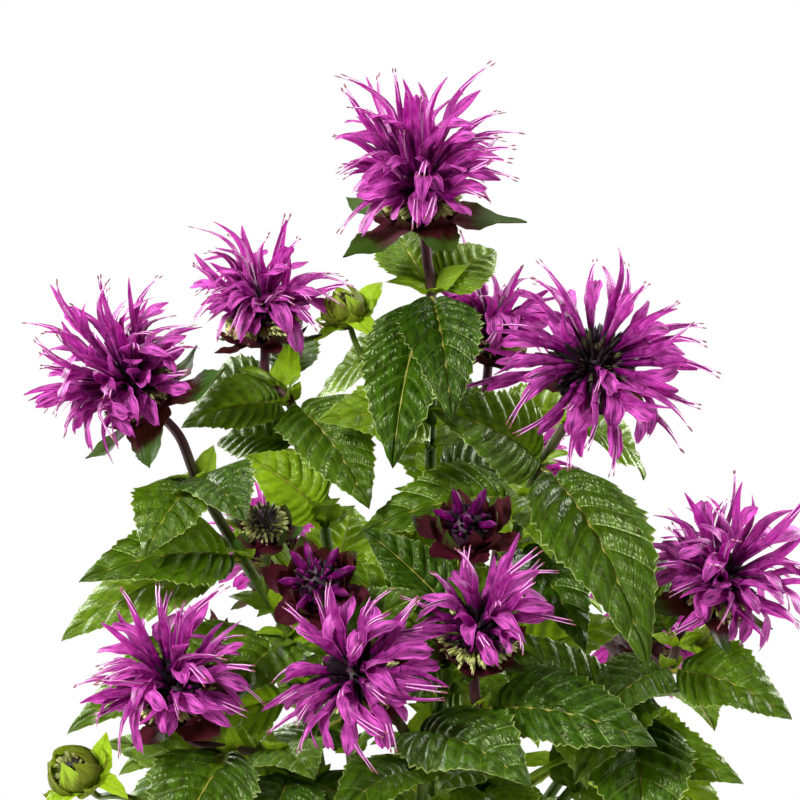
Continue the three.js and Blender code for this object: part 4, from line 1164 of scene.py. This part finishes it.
for name, row in HEADS.items():
    head = HeadPlace(name)
    copies = [(cup_and_core(head, CUP_RINGS_MM), core_pattern[6], CUP_TONE)]
    for number in range(BRACT_COUNT):
        turn = 2 * math.pi * (number + 0.5) / BRACT_COUNT
        length = row["bract"] * (BRACT_SHORT if number % 2 else 1)
        moved = laid_bract(head, turn, length, BRACT_OPEN, bract_draw)
        leafy = LEAFY_TONE if row["bract"] > LEAFY_LENGTH_MM else BRACT_TONE
        copies.append((moved, bract_pattern, bract_draw.uniform(*leafy)))
    for number in range(INNER_BRACTS):
        turn = 2 * math.pi * (number + INNER_SHIFT) / INNER_BRACTS
        length = INNER_LENGTH_MM * bract_draw.uniform(*INNER_SIZES)
        lift = bract_draw.uniform(*INNER_LIFT)
        moved = laid_bract(head, turn, length, BRACT_HUGGING, bract_draw, lift, **INNER_FIT)
        copies.append((moved, bract_pattern, bract_draw.uniform(*INNER_TONE)))
    settle(assemble(f"bracts_of_{name}", copies, BRACT_SKIN), [f"bracts_{name}"])


# Calyces: a tight ball of ribbed tubes covers the middle of each head, one for each floret, open or spent.
# Each ends in five fine teeth with pale hairs, green-yellow round the ball's foot and dark violet on top.
CALYX_COUNT = 150
CALYX_SPREAD = (0, 108)
CALYX_ROOT_MM = 5.5
CALYX_LENGTH_MM = 8.2
CALYX_GIRTH_MM = 0.95
CALYX_LEAN = 0.13
CALYX_SIZES = (0.8, 1.14)
CALYX_UNEVENNESS = (-0.12, 0.1)
GREENING = 2.2
BALL_GREEN = {"wheel": 0.0}
BALL_LENGTH_MM = {"wheel": 11}
CORE_TONE = 0.0
RING_COUNT = 170
RING_SPREAD = (80, 106)
RING_LENGTH_MM = 9
RING_GIRTH_MM = 0.55
RING_GREEN = 2.2
TOOTH_LENGTH = 0.2
CALYX_ROWS = 3
CALYX_COLUMNS = 10
CORE_RINGS_MM = [(5, 7.5), (6.5, 8.6), (9, 9.4), (12, 9.2), (15, 7.8), (17.5, 5.4), (19, 2.6), (19.5, 0.4)]
CALYX_VIOLET = "#170A12"
CALYX_PLUM = "#38152C"
CALYX_GREEN = "#A4B048"
CALYX_HAIR = "#DDDE9C"


def calyx_form(along, side):
    """A tube one unit long, its mouth cut into five teeth."""
    angle = 2 * math.pi * side
    is_tooth = round(side * CALYX_COLUMNS) % 2 == 1
    is_mouth = along > 0.99
    x = 1 + (TOOTH_LENGTH if is_tooth else 0) if is_mouth else along * 0.92
    radius = (0.55, 0.85, 1.05, 0.75 if is_tooth else 1.1)[round(along * CALYX_ROWS)]
    return x, radius * math.cos(angle), radius * math.sin(angle)


def set_on_line(pattern, root, direction, up, side, length, girth, bend=0.0):
    """A pattern along its own X laid from root along direction, its Y to the side and its Z up."""
    x, y, z = pattern[0].T
    points = root + direction * (x * length)[:, None] + side * (y * girth)[:, None]
    return points + up * (z * girth + bend * x * x)[:, None]


def calyx_skin():
    material, tree, surface = new_material("downy calyx", Roughness=0.6)
    _, along, aside, tone = growth_of(tree)
    # Pale hairs at the mouth, most on the green ones
    mouth = add_node(tree, "MapRange", {"Value": along, 1: 0.8, 2: 1.0, 3: 0.0, 4: 1.0})
    hairs = add_node(tree, "Math", {0: tone, 1: 0.9}, operation="MULTIPLY")
    hairy = add_node(tree, "Math", {0: mouth, 1: hairs}, operation="MULTIPLY")
    colour = shade(CALYX_PLUM)
    for share, tint in ((along, CALYX_VIOLET), (tone, CALYX_GREEN), (hairy, CALYX_HAIR)):
        colour = add_node(tree, "Mix", {0: share, 6: colour, 7: shade(tint)}, data_type="RGBA")
    # Thirteen ribs round the tube
    lay_skin(tree, surface, colour, off_ribs(tree, aside, 13), 0.0002, 0.6)
    return material


CALYX_SKIN = calyx_skin()
calyx_pattern = pattern_of(shaped_grid("calyx_pattern", CALYX_ROWS, CALYX_COLUMNS, calyx_form))
calyx_draw = np.random.default_rng(23)


def calyx_ball(head, centre, count, spread, root, length, girth, green, least=0.0, green_from=0.25):
    """Calyces over a dome, greener the further they are from its top."""
    for number in range(count):
        cos, sin, radial = dome_place(head, spread, number, count)
        direction = unit(head.axis * cos + radial * sin + calyx_draw.uniform(-CALYX_LEAN, CALYX_LEAN, 3))
        up = up_from(head, direction)
        side = np.cross(direction, up)
        scale = calyx_draw.uniform(*CALYX_SIZES)
        start = centre + direction * root
        moved = set_on_line(calyx_pattern, start, direction, up, side, length * scale, girth * scale)
        tone = green * (green_from - cos) * GREENING + calyx_draw.uniform(*CALYX_UNEVENNESS)
        yield moved / 1000, calyx_pattern, np.clip(tone, least, 1)


for name in HEADS:
    head = HeadPlace(name)
    copies = [(cup_and_core(head, CORE_RINGS_MM), core_pattern[8], CORE_TONE)]
    green = BALL_GREEN.get(name, 1)
    length = BALL_LENGTH_MM.get(name, CALYX_LENGTH_MM)
    # Small ones not yet in flower stand close round the ball's foot
    ball = (CALYX_COUNT, CALYX_SPREAD, CALYX_ROOT_MM, length, CALYX_GIRTH_MM, green)
    ring = (RING_COUNT, RING_SPREAD, CALYX_ROOT_MM, RING_LENGTH_MM, RING_GIRTH_MM, RING_GREEN * green)
    for row in (ball, ring):
        copies += calyx_ball(head, dome_middle(head), *row)
    settle(assemble(f"calyces_of_{name}", copies, CALYX_SKIN), [f"bloom_{name}"])


# Florets: two-lipped tubes, 25 to 60 mm long, in a shaggy mop. The upper lip is a narrow sickle of a hood,
# the lower lip a broad hanging tongue. They are thin, downy and magenta-purple, and glow against the light.
FLORET_LENGTH = 36
FLORET_LIFT = 2.5
USUAL_SCATTER = 0.12
FLORET_SCATTER = {"wheel": 0.15}
FLORET_LENGTHS = (0.88, 1.1)
FLORET_FADING = (0, 0.25)
# Florets inside a head's ring: lean in degrees, turn in radians and share of the head's reach
FACING_FLORETS = {"wheel": [(24, -1.3, 0.62), (38, 2.4, 0.7)], "low_front": [(22, 1.2, 0.7)]}
FLORET_SHARE = (1.8, 2.7)
FLORET_ROLL = (-0.8, 0.8)
FLORET_TWIST = (-1.0, 1.0)
FLORET_GIRTH = (0.85, 1.2)
FLORET_GAPE = (0.5, 2.1)
BOW_MM = (-10, 5)
SWERVE_MM = (-7, 7)
HOOK_MM = (-11, 4)
ROLLED_COUNT = 14
ROLLED_LENGTH_MM = (9, 17)
ROLLED_GIRTH_MM = 1.35
ROLLED_RADII = [(0, 0.55), (0.3, 0.8), (0.7, 1.25), (0.9, 1.1), (1, 0.05)]
ROLLED_BEND_MM = (-4, 1)
ROLLED_LEAN = 0.25
ROLLED_TONE = (-0.6, 0)
NUB_COUNT = 44
NUB_SPREAD = (52, 90)
NUB_SHIFT = 0.4
NUB_LEAN = 0.08
NUB_ROOT_MM = 8
NUB_LENGTH_MM = (6, 9)
NUB_GIRTH_MM = 0.85
NUB_TONE = (-0.4, 0.05)
THROAT = 0.54
TUBE_START = 0.1
TUBE_RADII_MM = [0.6, 0.9, 1.4, 2.0, 2.5]
HOOD_HALVES_MM = [(0, 2.3), (0.3, 2.1), (0.6, 1.6), (0.86, 0.9), (1, 0.25)]
HOOD_RISES_MM = [(0, 2.0), (0.35, 3.1), (0.75, 2.9), (1, 1.4)]
TONGUE_LENGTH_MM = 13.5
TONGUE_DROP_MM = 2.3
BLUNT_HALVES_MM = [(0, 2.2), (0.2, 2.7), (0.36, 3.9), (0.5, 3.0), (0.72, 3.7), (0.88, 2.8), (1, 1.1)]
POINTED_HALVES_MM = [(0, 2.2), (0.2, 2.8), (0.38, 3.8), (0.55, 3.3), (0.7, 2.6), (0.84, 1.8), (1, 0.5)]
FLORET_DEEP = "#240428"
FLORET_MAGENTA = "#740360"
FLORET_PINK = "#DE62C6"
FLORET_GLOW = "#C41AA4"
FLORET_SHINE = "#F29AE4"


def tube_form(along, side):
    place = along * (len(TUBE_RADII_MM) - 1)
    radius = np.interp(place, range(len(TUBE_RADII_MM)), TUBE_RADII_MM)
    angle = 2 * math.pi * side
    x = between(TUBE_START, THROAT, along) * FLORET_LENGTH
    return x, radius * math.cos(angle) * 0.85, radius * math.sin(angle) + 0.5 * swell(along)


def hood_form(along, side):
    """A hood folded along its middle, drawn out to a point that nods."""
    v = 2 * side - 1
    half = np.interp(along, *zip(*HOOD_HALVES_MM))
    x = (THROAT - 0.01 + (1.01 - THROAT) * along) * FLORET_LENGTH
    rise = np.interp(along, *zip(*HOOD_RISES_MM))
    return x, half * v, rise - 1.1 * half * v * v


def tongue_form(halves, notch_mm):
    """A tongue hung from the throat's lower half, with a small lobe on each side."""

    def form(along, side):
        v = 2 * side - 1
        half = np.interp(along, *zip(*halves))
        notch = notch_mm * max(0.0, 5 * along - 4) * (1 - abs(v))
        forward = TONGUE_LENGTH_MM * (along - 0.22 * along**2) - notch
        drop = TONGUE_DROP_MM + TONGUE_LENGTH_MM * (0.1 * along + 0.4 * along**2)
        trough = TONGUE_DROP_MM * (1 - along) ** 2 * (1 - math.cos(math.pi / 2 * v))
        ruffle = 0.6 * math.sin(2.4 * math.pi * along) * v**3
        height = trough - drop - 0.9 * along * v * v + ruffle
        return (THROAT - 0.01) * FLORET_LENGTH + forward, half * v, height

    return form


def joined_patterns(*patterns):
    points, faces, charts, offset = [], [], [], 0
    for part_points, part_faces, chart in patterns:
        points.append(part_points)
        faces.extend([tuple(i + offset for i in face) for face in part_faces])
        charts.append(chart)
        offset += len(part_points)
    return np.concatenate(points), faces, np.concatenate(charts)


def floret_skin():
    material, tree, surface = new_material(
        "downy petal", Roughness=0.42, Specular_IOR_Level=0.28, Sheen_Weight=0.08, Sheen_Roughness=0.4
    )
    surface.inputs["Sheen Tint"].default_value = shade(FLORET_PINK)
    surface.inputs["Specular Tint"].default_value = shade(FLORET_SHINE)
    chart, _, aside, tone = growth_of(tree)
    # Veins run lengthwise, about seven across a petal, and waver a little
    stretched = add_node(tree, "Mapping", {"Vector": chart, "Scale": (2.0, 13.0, 1.0)})
    veins = add_node(tree, "TexNoise", {"Vector": stretched, "Scale": 1.0, "Detail": 5.0})
    vein = add_node(tree, "MapRange", {"Value": veins, 1: 0.38, 2: 0.55, 3: 0.05, 4: 1.0})
    # Bruised and faded patches a few millimetres wide
    place = add_node(tree, "TexCoord").outputs["Object"]
    patches = add_node(tree, "TexNoise", {"Vector": place, "Scale": 240.0, "Detail": 3.0})
    patch = add_node(tree, "Math", {0: patches, 1: 1.1, 2: -0.55}, operation="MULTIPLY_ADD")
    patchy = add_node(tree, "Math", {0: tone, 1: patch}, operation="ADD")
    # The skin pales between the veins, partly its own colour and partly painted highlight streaks, and a
    # painted highlight runs along its thin downy rims
    rim_highlight = add_node(tree, "MapRange", {"Value": off_middle(tree, aside), 1: 0.4, 2: 0.5, 3: 0.0, 4: 0.45})
    rimmed = add_node(tree, "Math", {0: patchy, 1: rim_highlight}, operation="ADD")
    paling_and_highlight = add_node(tree, "Math", {0: vein, 1: rimmed}, operation="MULTIPLY", use_clamp=True)
    colour = shade(FLORET_DEEP)
    for share, tint in ((vein, FLORET_MAGENTA), (paling_and_highlight, FLORET_PINK)):
        colour = add_node(tree, "Mix", {0: share, 6: colour, 7: shade(tint)}, data_type="RGBA")
    # A tone below nought darkens it, as in the painted shade at the foot of the tube
    shown = add_node(tree, "MapRange", {"Value": patchy, 1: -0.5, 2: 0.05, 3: 0.1, 4: 1.0})
    colour = add_node(tree, "Mix", {0: shown, 6: shade(FLORET_DEEP), 7: colour}, data_type="RGBA")
    lay_skin(tree, surface, colour, veins, 0.0005, 0.6)
    let_light_through(tree, surface, colour, FLORET_GLOW, 0.5, 0.3)
    return material


def rolled_form(along, side):
    """A floret that is still rolled up: a blunt club."""
    angle = 2 * math.pi * side
    radius = np.interp(along, *zip(*ROLLED_RADII))
    return along, radius * math.cos(angle), radius * math.sin(angle)


class FloretPose:
    """How one floret grows from the dome's middle: its line, and how it rolls, twists, bends and gapes."""

    def __init__(self, head, direction, up, side, reach, draw):
        self.centre = head.along(CUP_HEIGHT + GAP + DOME_CENTRE + FLORET_LIFT)
        self.direction, self.up, self.side, self.reach = direction, up, side, reach
        lean = 1 - direction @ head.axis
        self.roll, self.twist = draw.uniform(*FLORET_ROLL), draw.uniform(*FLORET_TWIST)
        self.bow, self.swerve = draw.uniform(*BOW_MM) * (0.3 + lean), draw.uniform(*SWERVE_MM)
        self.hook, self.hook_side = draw.uniform(*HOOK_MM), draw.uniform(*SWERVE_MM)
        self.girth = draw.uniform(*FLORET_GIRTH)
        self.gape = draw.uniform(*FLORET_GAPE) * (1 - 0.3 * lean)

    def laid(self, pattern):
        x, y, z = pattern[0].T
        hang = np.clip(-z - TONGUE_DROP_MM, 0, None)
        share = (x - 0.45 * (self.gape - 0.8) * hang) / FLORET_LENGTH
        z = (z - (self.gape - 1) * hang) * self.girth
        y = y * self.girth
        roll = self.roll + self.twist * share**2
        end = np.clip((share - 0.6) / 0.4, 0, 1.2) ** 2
        aside = y * np.cos(roll) - z * np.sin(roll) + self.swerve * share**2.2 + self.hook_side * end
        above = y * np.sin(roll) + z * np.cos(roll) + self.bow * share**2.2 + self.hook * end
        line = self.centre + self.direction * (share * self.reach)[:, None]
        return (line + self.side * aside[:, None] + self.up * above[:, None]) / 1000


FLORET_SKIN = floret_skin()
rolled_pattern = pattern_of(shaped_grid("rolled_floret_pattern", 6, 6, rolled_form))
floret_patterns = [
    joined_patterns(
        pattern_of(shaped_grid("tube_pattern", 4, 6, tube_form)),
        pattern_of(shaped_grid("hood_pattern", 6, 2, hood_form)),
        pattern_of(shaped_grid("tongue_pattern", 7, 6, tongue_form(halves, notch_mm))),
    )
    for halves, notch_mm in ((BLUNT_HALVES_MM, 0.6), (POINTED_HALVES_MM, 0))
]


def floret_blush_and_shade(pattern):
    """Florets are darkest at the tongue's end and, by painted shade, at the foot of the tube, and palest
    between.
    """
    x, _, z = pattern[0].T
    # Painted shade at the foot of the tube, deep in the head
    foot = 0.5 * np.clip(1.4 - x / 12, 0, 1)
    end = 0.5 * np.clip((-z - 7) / 2, 0, 1)
    return 0.2 * np.clip((x - 12) / 14, 0, 1) + 0.4 * np.clip(-z - 1, 0, 2.5) / 2.5 - foot - end


def rolled_nubs(head, centre, count, spread, root, lengths):
    """Tips of rolled-up florets that stand just out of their calyces over a dome."""
    for number in range(count):
        cos, sin, radial = dome_place(head, spread, number, count, NUB_SHIFT)
        direction = unit(head.axis * cos + radial * sin + floret_draw.uniform(-NUB_LEAN, NUB_LEAN, 3))
        first, second = across(direction)
        length = floret_draw.uniform(*lengths)
        start = centre + direction * root
        moved = set_on_line(rolled_pattern, start, direction, first, second, length, NUB_GIRTH_MM)
        yield moved / 1000, rolled_pattern, floret_draw.uniform(*NUB_TONE)


floret_draw = np.random.default_rng(29)
head_florets = {}

for name, row in HEADS.items():
    head = HeadPlace(name)
    count = round(row["florets"] * between(*FLORET_SHARE, min(1, row["rise"] / 0.6)))
    head_florets[name] = []
    copies = []
    scatter = FLORET_SCATTER.get(name, USUAL_SCATTER)
    places = [floret_place(head, row, number, count) for number in range(count)]
    for lean, turn, share in FACING_FLORETS.get(name, []):
        direction = leaning(head, lean, turn)
        up = up_from(head, direction)
        places.append((direction, up, np.cross(direction, up), share * row["reach"]))
    for direction, up, side, reach in places:
        direction = unit(direction + floret_draw.uniform(-scatter, scatter, 3))
        reach *= floret_draw.uniform(*FLORET_LENGTHS)
        pose = FloretPose(head, direction, up, side, reach, floret_draw)
        head_florets[name].append(pose)
        pattern = floret_patterns[floret_draw.integers(2)]
        tone = floret_blush_and_shade(pattern) + floret_draw.uniform(*FLORET_FADING)
        copies.append((pose.laid(pattern), pattern, tone))
    for number in range(ROLLED_COUNT):
        direction, up, side, _ = floret_place(head, row, number, ROLLED_COUNT)
        direction = unit(direction + floret_draw.uniform(-ROLLED_LEAN, ROLLED_LEAN, 3))
        root = dome_middle(head) + direction * CALYX_ROOT_MM
        length = floret_draw.uniform(*ROLLED_LENGTH_MM)
        bend = floret_draw.uniform(*ROLLED_BEND_MM)
        moved = set_on_line(rolled_pattern, root, direction, up, side, length, ROLLED_GIRTH_MM, bend)
        copies.append((moved / 1000, rolled_pattern, floret_draw.uniform(*ROLLED_TONE)))
    copies += rolled_nubs(head, dome_middle(head), NUB_COUNT, NUB_SPREAD, NUB_ROOT_MM, NUB_LENGTH_MM)
    settle(assemble(f"florets_of_{name}", copies, FLORET_SKIN), [f"bloom_{name}"])


# Stamens: two thin pale threads run out under the hood of most florets and a little past it, each with a
# small anther, dusty pink.
THREAD_POINTS = [(18, 0.6), (24, 1.7), (30, 2.3), (34.5, 1.9), (37.4, 1.2)]
THREAD_RADIUS_MM = 0.26
THREADS_APART_MM = 1.3
SPREAD_LENGTH_MM = 21.5
RIPE_SHARE = 0.65
ANTHER_MM = (0.8, 0.4)
THREAD_PINK = "#CC8CBC"
ANTHER_PINK = "#7A3E4A"


def thread_form(along, side):
    angle = 2 * math.pi * side
    place = along * (len(THREAD_POINTS) - 1)
    x = np.interp(place, range(len(THREAD_POINTS)), [point[0] for point in THREAD_POINTS])
    z = np.interp(place, range(len(THREAD_POINTS)), [point[1] for point in THREAD_POINTS])
    return x, THREAD_RADIUS_MM * math.cos(angle), z + THREAD_RADIUS_MM * math.sin(angle)


def pair_of(pattern):
    """Two copies of a thread or an anther side by side, spreading towards their ends."""
    points, faces, chart = pattern
    spread = THREADS_APART_MM * ((points[:, :1] - THREAD_POINTS[0][0]) / SPREAD_LENGTH_MM) ** 1.5
    return joined_patterns(*((points + way * spread * np.array([0, 1, 0]), faces, chart) for way in (-1, 1)))


thread_pattern = pair_of(pattern_of(shaped_grid("thread_pattern", 4, 3, thread_form)))
bpy.ops.mesh.primitive_ico_sphere_add(subdivisions=1, radius=1)
anther = pattern_of(bpy.context.object)
anther_points = anther[0] * np.array([ANTHER_MM[0], ANTHER_MM[1], ANTHER_MM[1]])
anther_points = anther_points + np.array([THREAD_POINTS[-1][0], 0, THREAD_POINTS[-1][1]])
anther_pattern = pair_of((anther_points, anther[1], anther[2]))
THREAD_SKIN = new_material("pale stamen thread", Base_Color=shade(THREAD_PINK), Roughness=0.5)[0]
ANTHER_SKIN = new_material("dusty anther", Base_Color=shade(ANTHER_PINK), Roughness=0.8)[0]

stamen_parts = (("threads", thread_pattern, THREAD_SKIN), ("anthers", anther_pattern, ANTHER_SKIN))
for name, florets in head_florets.items():
    ripe = [pose for pose in florets if floret_draw.uniform() < RIPE_SHARE]
    for part, pattern, skin in stamen_parts:
        copies = [(pose.laid(pattern), pattern, 0.0) for pose in ripe]
        settle(assemble(f"{part}_of_{name}", copies, skin), [f"bloom_{name}"])


# Buds: heads that are not open yet. Layers of bracts close round a dome of small calyces, maroon on the ones
# about to open, which show the tips of rolled-up purple florets, and brown-green on the young ones.
OPEN_BUDS = ("green",)
# Each kind's layers of bracts (their count, turn, length and form), how they fit and their tone, and its
# calyces: their count, spread in degrees, root and length as shares of the dome's radius, girth in
# millimetres, how green they are, the least of it, and the cosine of the lean where the green sets in.
BUD_KINDS = {
    "plum": {
        "layers": [
            (5, 0, 1.0, BRACT_CLOSED),
            (5, 0.5, 0.86, [(0.42, 0.34), (0.46, 0.98)]),
            (6, 0.25, 1.05, [(0.62, 0.06), (0.95, 0.35)]),
        ],
        "fit": {"broad": 1.2, "wrap": 0.3}, "tone": (0.2, 0.8),
        "calyces": (46, (0, 75), 0.35, 0.62, 0.75, 0.6, 0, 0.25),
    },
    "half_open": {
        "layers": [
            (4, 0, 0.9, [(0.5, 0.12), (0.52, 0.75)]),
            (5, 0.5, 0.85, [(0.6, 0.02), (0.9, 0.2)]),
        ],
        "fit": {"broad": 1.5, "wrap": 0.9}, "tone": (0.7, 1.3),
        "calyces": (170, (0, 108), 0.4, 0.55, 0.5, 0.9, 0.1, 0.8),
    },
    "closed": {
        "layers": [
            (4, 0, 1.1, [(0.3, 0.38), (-0.06, 0.98)]),
            (4, 0.5, 1.0, [(0.4, 0.3), (0.14, 0.94)]),
            (4, 0.25, 0.85, [(0.56, 0.1), (0.7, 0.55)]),
        ],
        "fit": {"broad": 1.5, "wrap": 0.9}, "tone": (0.2, 0.8),
        "calyces": (46, (0, 75), 0.35, 0.62, 0.75, 2.0, 0.5, 0.25),
    },
}
WRAP_SIZES = (0.9, 1.05)
# The bud's core as (rise, radius) pairs, and the middle of its calyces, in shares of the dome's radius
BUD_CORE = [(-0.5, 0.7), (0.5, 0.8), (0.9, 0.6), (1.15, 0.3), (1.2, 0.02)]
BUD_MIDDLE = 0.4
# Rolled-up florets: how they lean in degrees, and their root and length in shares of the dome's radius
USUAL_LEAN = (15, 65)
TUBE_LEAN = {"star": (48, 82)}
TUBE_ROOT = 0.5
TUBE_LENGTH = 1.75
TUBE_GIRTH_MM = 1.5
TUBE_TONE = -0.1
BUD_NUBS = 26
BUD_NUB_SPREAD = (0, 70)
BUD_NUB_LENGTH = (0.5, 0.75)
COLLAR_LEAVES = 4
COLLAR_LENGTH_MM = (17, 27)
COLLAR_RISE = (-0.1, 0.5)
COLLAR_WAVE = 0.08
COLLAR_CURL = 0.1
COLLAR_TONE = (0.5, 0.95)
YOUNG_BROWN = "#4A3A14"
YOUNG_OLIVE = "#768A1E"
YOUNG_GREEN = "#8CA82C"
YOUNG_GLOW = "#B0CC30"

YOUNG_SKIN = bract_skin("young green bract", YOUNG_BROWN, YOUNG_OLIVE, YOUNG_GREEN, YOUNG_GLOW, 0.25)
bud_draw = np.random.default_rng(31)

for name, row in BUDS.items():
    head = HeadPlace(name)
    size, florets = row["size"], row["florets"]
    kind = "plum" if florets else "half_open" if name in OPEN_BUDS else "closed"
    form = BUD_KINDS[kind]
    wraps = [(cup_and_core(head, CUP_RINGS_MM), core_pattern[6], CUP_TONE)]
    for count, shift, share, way in form["layers"]:
        for number in range(count):
            turn = 2 * math.pi * (number + 0.5 + shift) / count
            length = row["bract"] * share * bud_draw.uniform(*WRAP_SIZES)
            moved = laid_bract(head, turn, length, way, bud_draw, **form["fit"])
            wraps.append((moved, bract_pattern, bud_draw.uniform(*form["tone"])))
    skin = YOUNG_SKIN if kind == "closed" else BRACT_SKIN
    settle(assemble(f"wraps_of_{name}", wraps, skin), [f"bud_{name}"])
    centre = head.along(CUP_HEIGHT + BUD_MIDDLE * size)
    rings = [(CUP_HEIGHT + rise * size, radius * size) for rise, radius in BUD_CORE]
    count, spread, root, length, girth, *green = form["calyces"]
    inner = [(cup_and_core(head, rings), core_pattern[5], CORE_TONE)]
    inner += calyx_ball(head, centre, count, spread, root * size, length * size, girth, *green)
    settle(assemble(f"calyces_of_{name}", inner, CALYX_SKIN), [f"bud_{name}"])
    if kind == "closed":
        collar = []
        for number in range(COLLAR_LEAVES):
            out = head.outward(2 * math.pi * (number + bud_draw.uniform(-0.2, 0.2)) / COLLAR_LEAVES)
            length = bud_draw.uniform(*COLLAR_LENGTH_MM)
            tip = head.at + length * unit(out + head.axis * bud_draw.uniform(*COLLAR_RISE))
            leaf = LeafPlace(head.at, tip, SPRIG_SLIMNESS * length, SPRIG_TURN)
            moved = spread_blade(sprig_pattern, leaf, COLLAR_WAVE, COLLAR_CURL, bud_draw.uniform())
            collar.append((moved, sprig_pattern, bud_draw.uniform(*COLLAR_TONE)))
        settle(assemble(f"leaves_by_{name}", collar, LEAF_SKIN), [f"bud_{name}"])
    if kind == "plum":
        rolled = []
        root = head.along(CUP_HEIGHT + TUBE_ROOT * size)
        for number in range(florets):
            lean = between(*TUBE_LEAN.get(name, USUAL_LEAN), (number + 0.5) / florets)
            direction = leaning(head, lean, number * GOLDEN_TURN)
            sides = across(direction)
            moved = set_on_line(rolled_pattern, root, direction, *sides, TUBE_LENGTH * size, TUBE_GIRTH_MM)
            rolled.append((moved / 1000, rolled_pattern, TUBE_TONE))
        lengths = [share * size for share in BUD_NUB_LENGTH]
        rolled += rolled_nubs(head, centre, BUD_NUBS, BUD_NUB_SPREAD, TUBE_ROOT * size, lengths)
        settle(assemble(f"rolled_florets_of_{name}", rolled, FLORET_SKIN), [f"bud_{name}"])
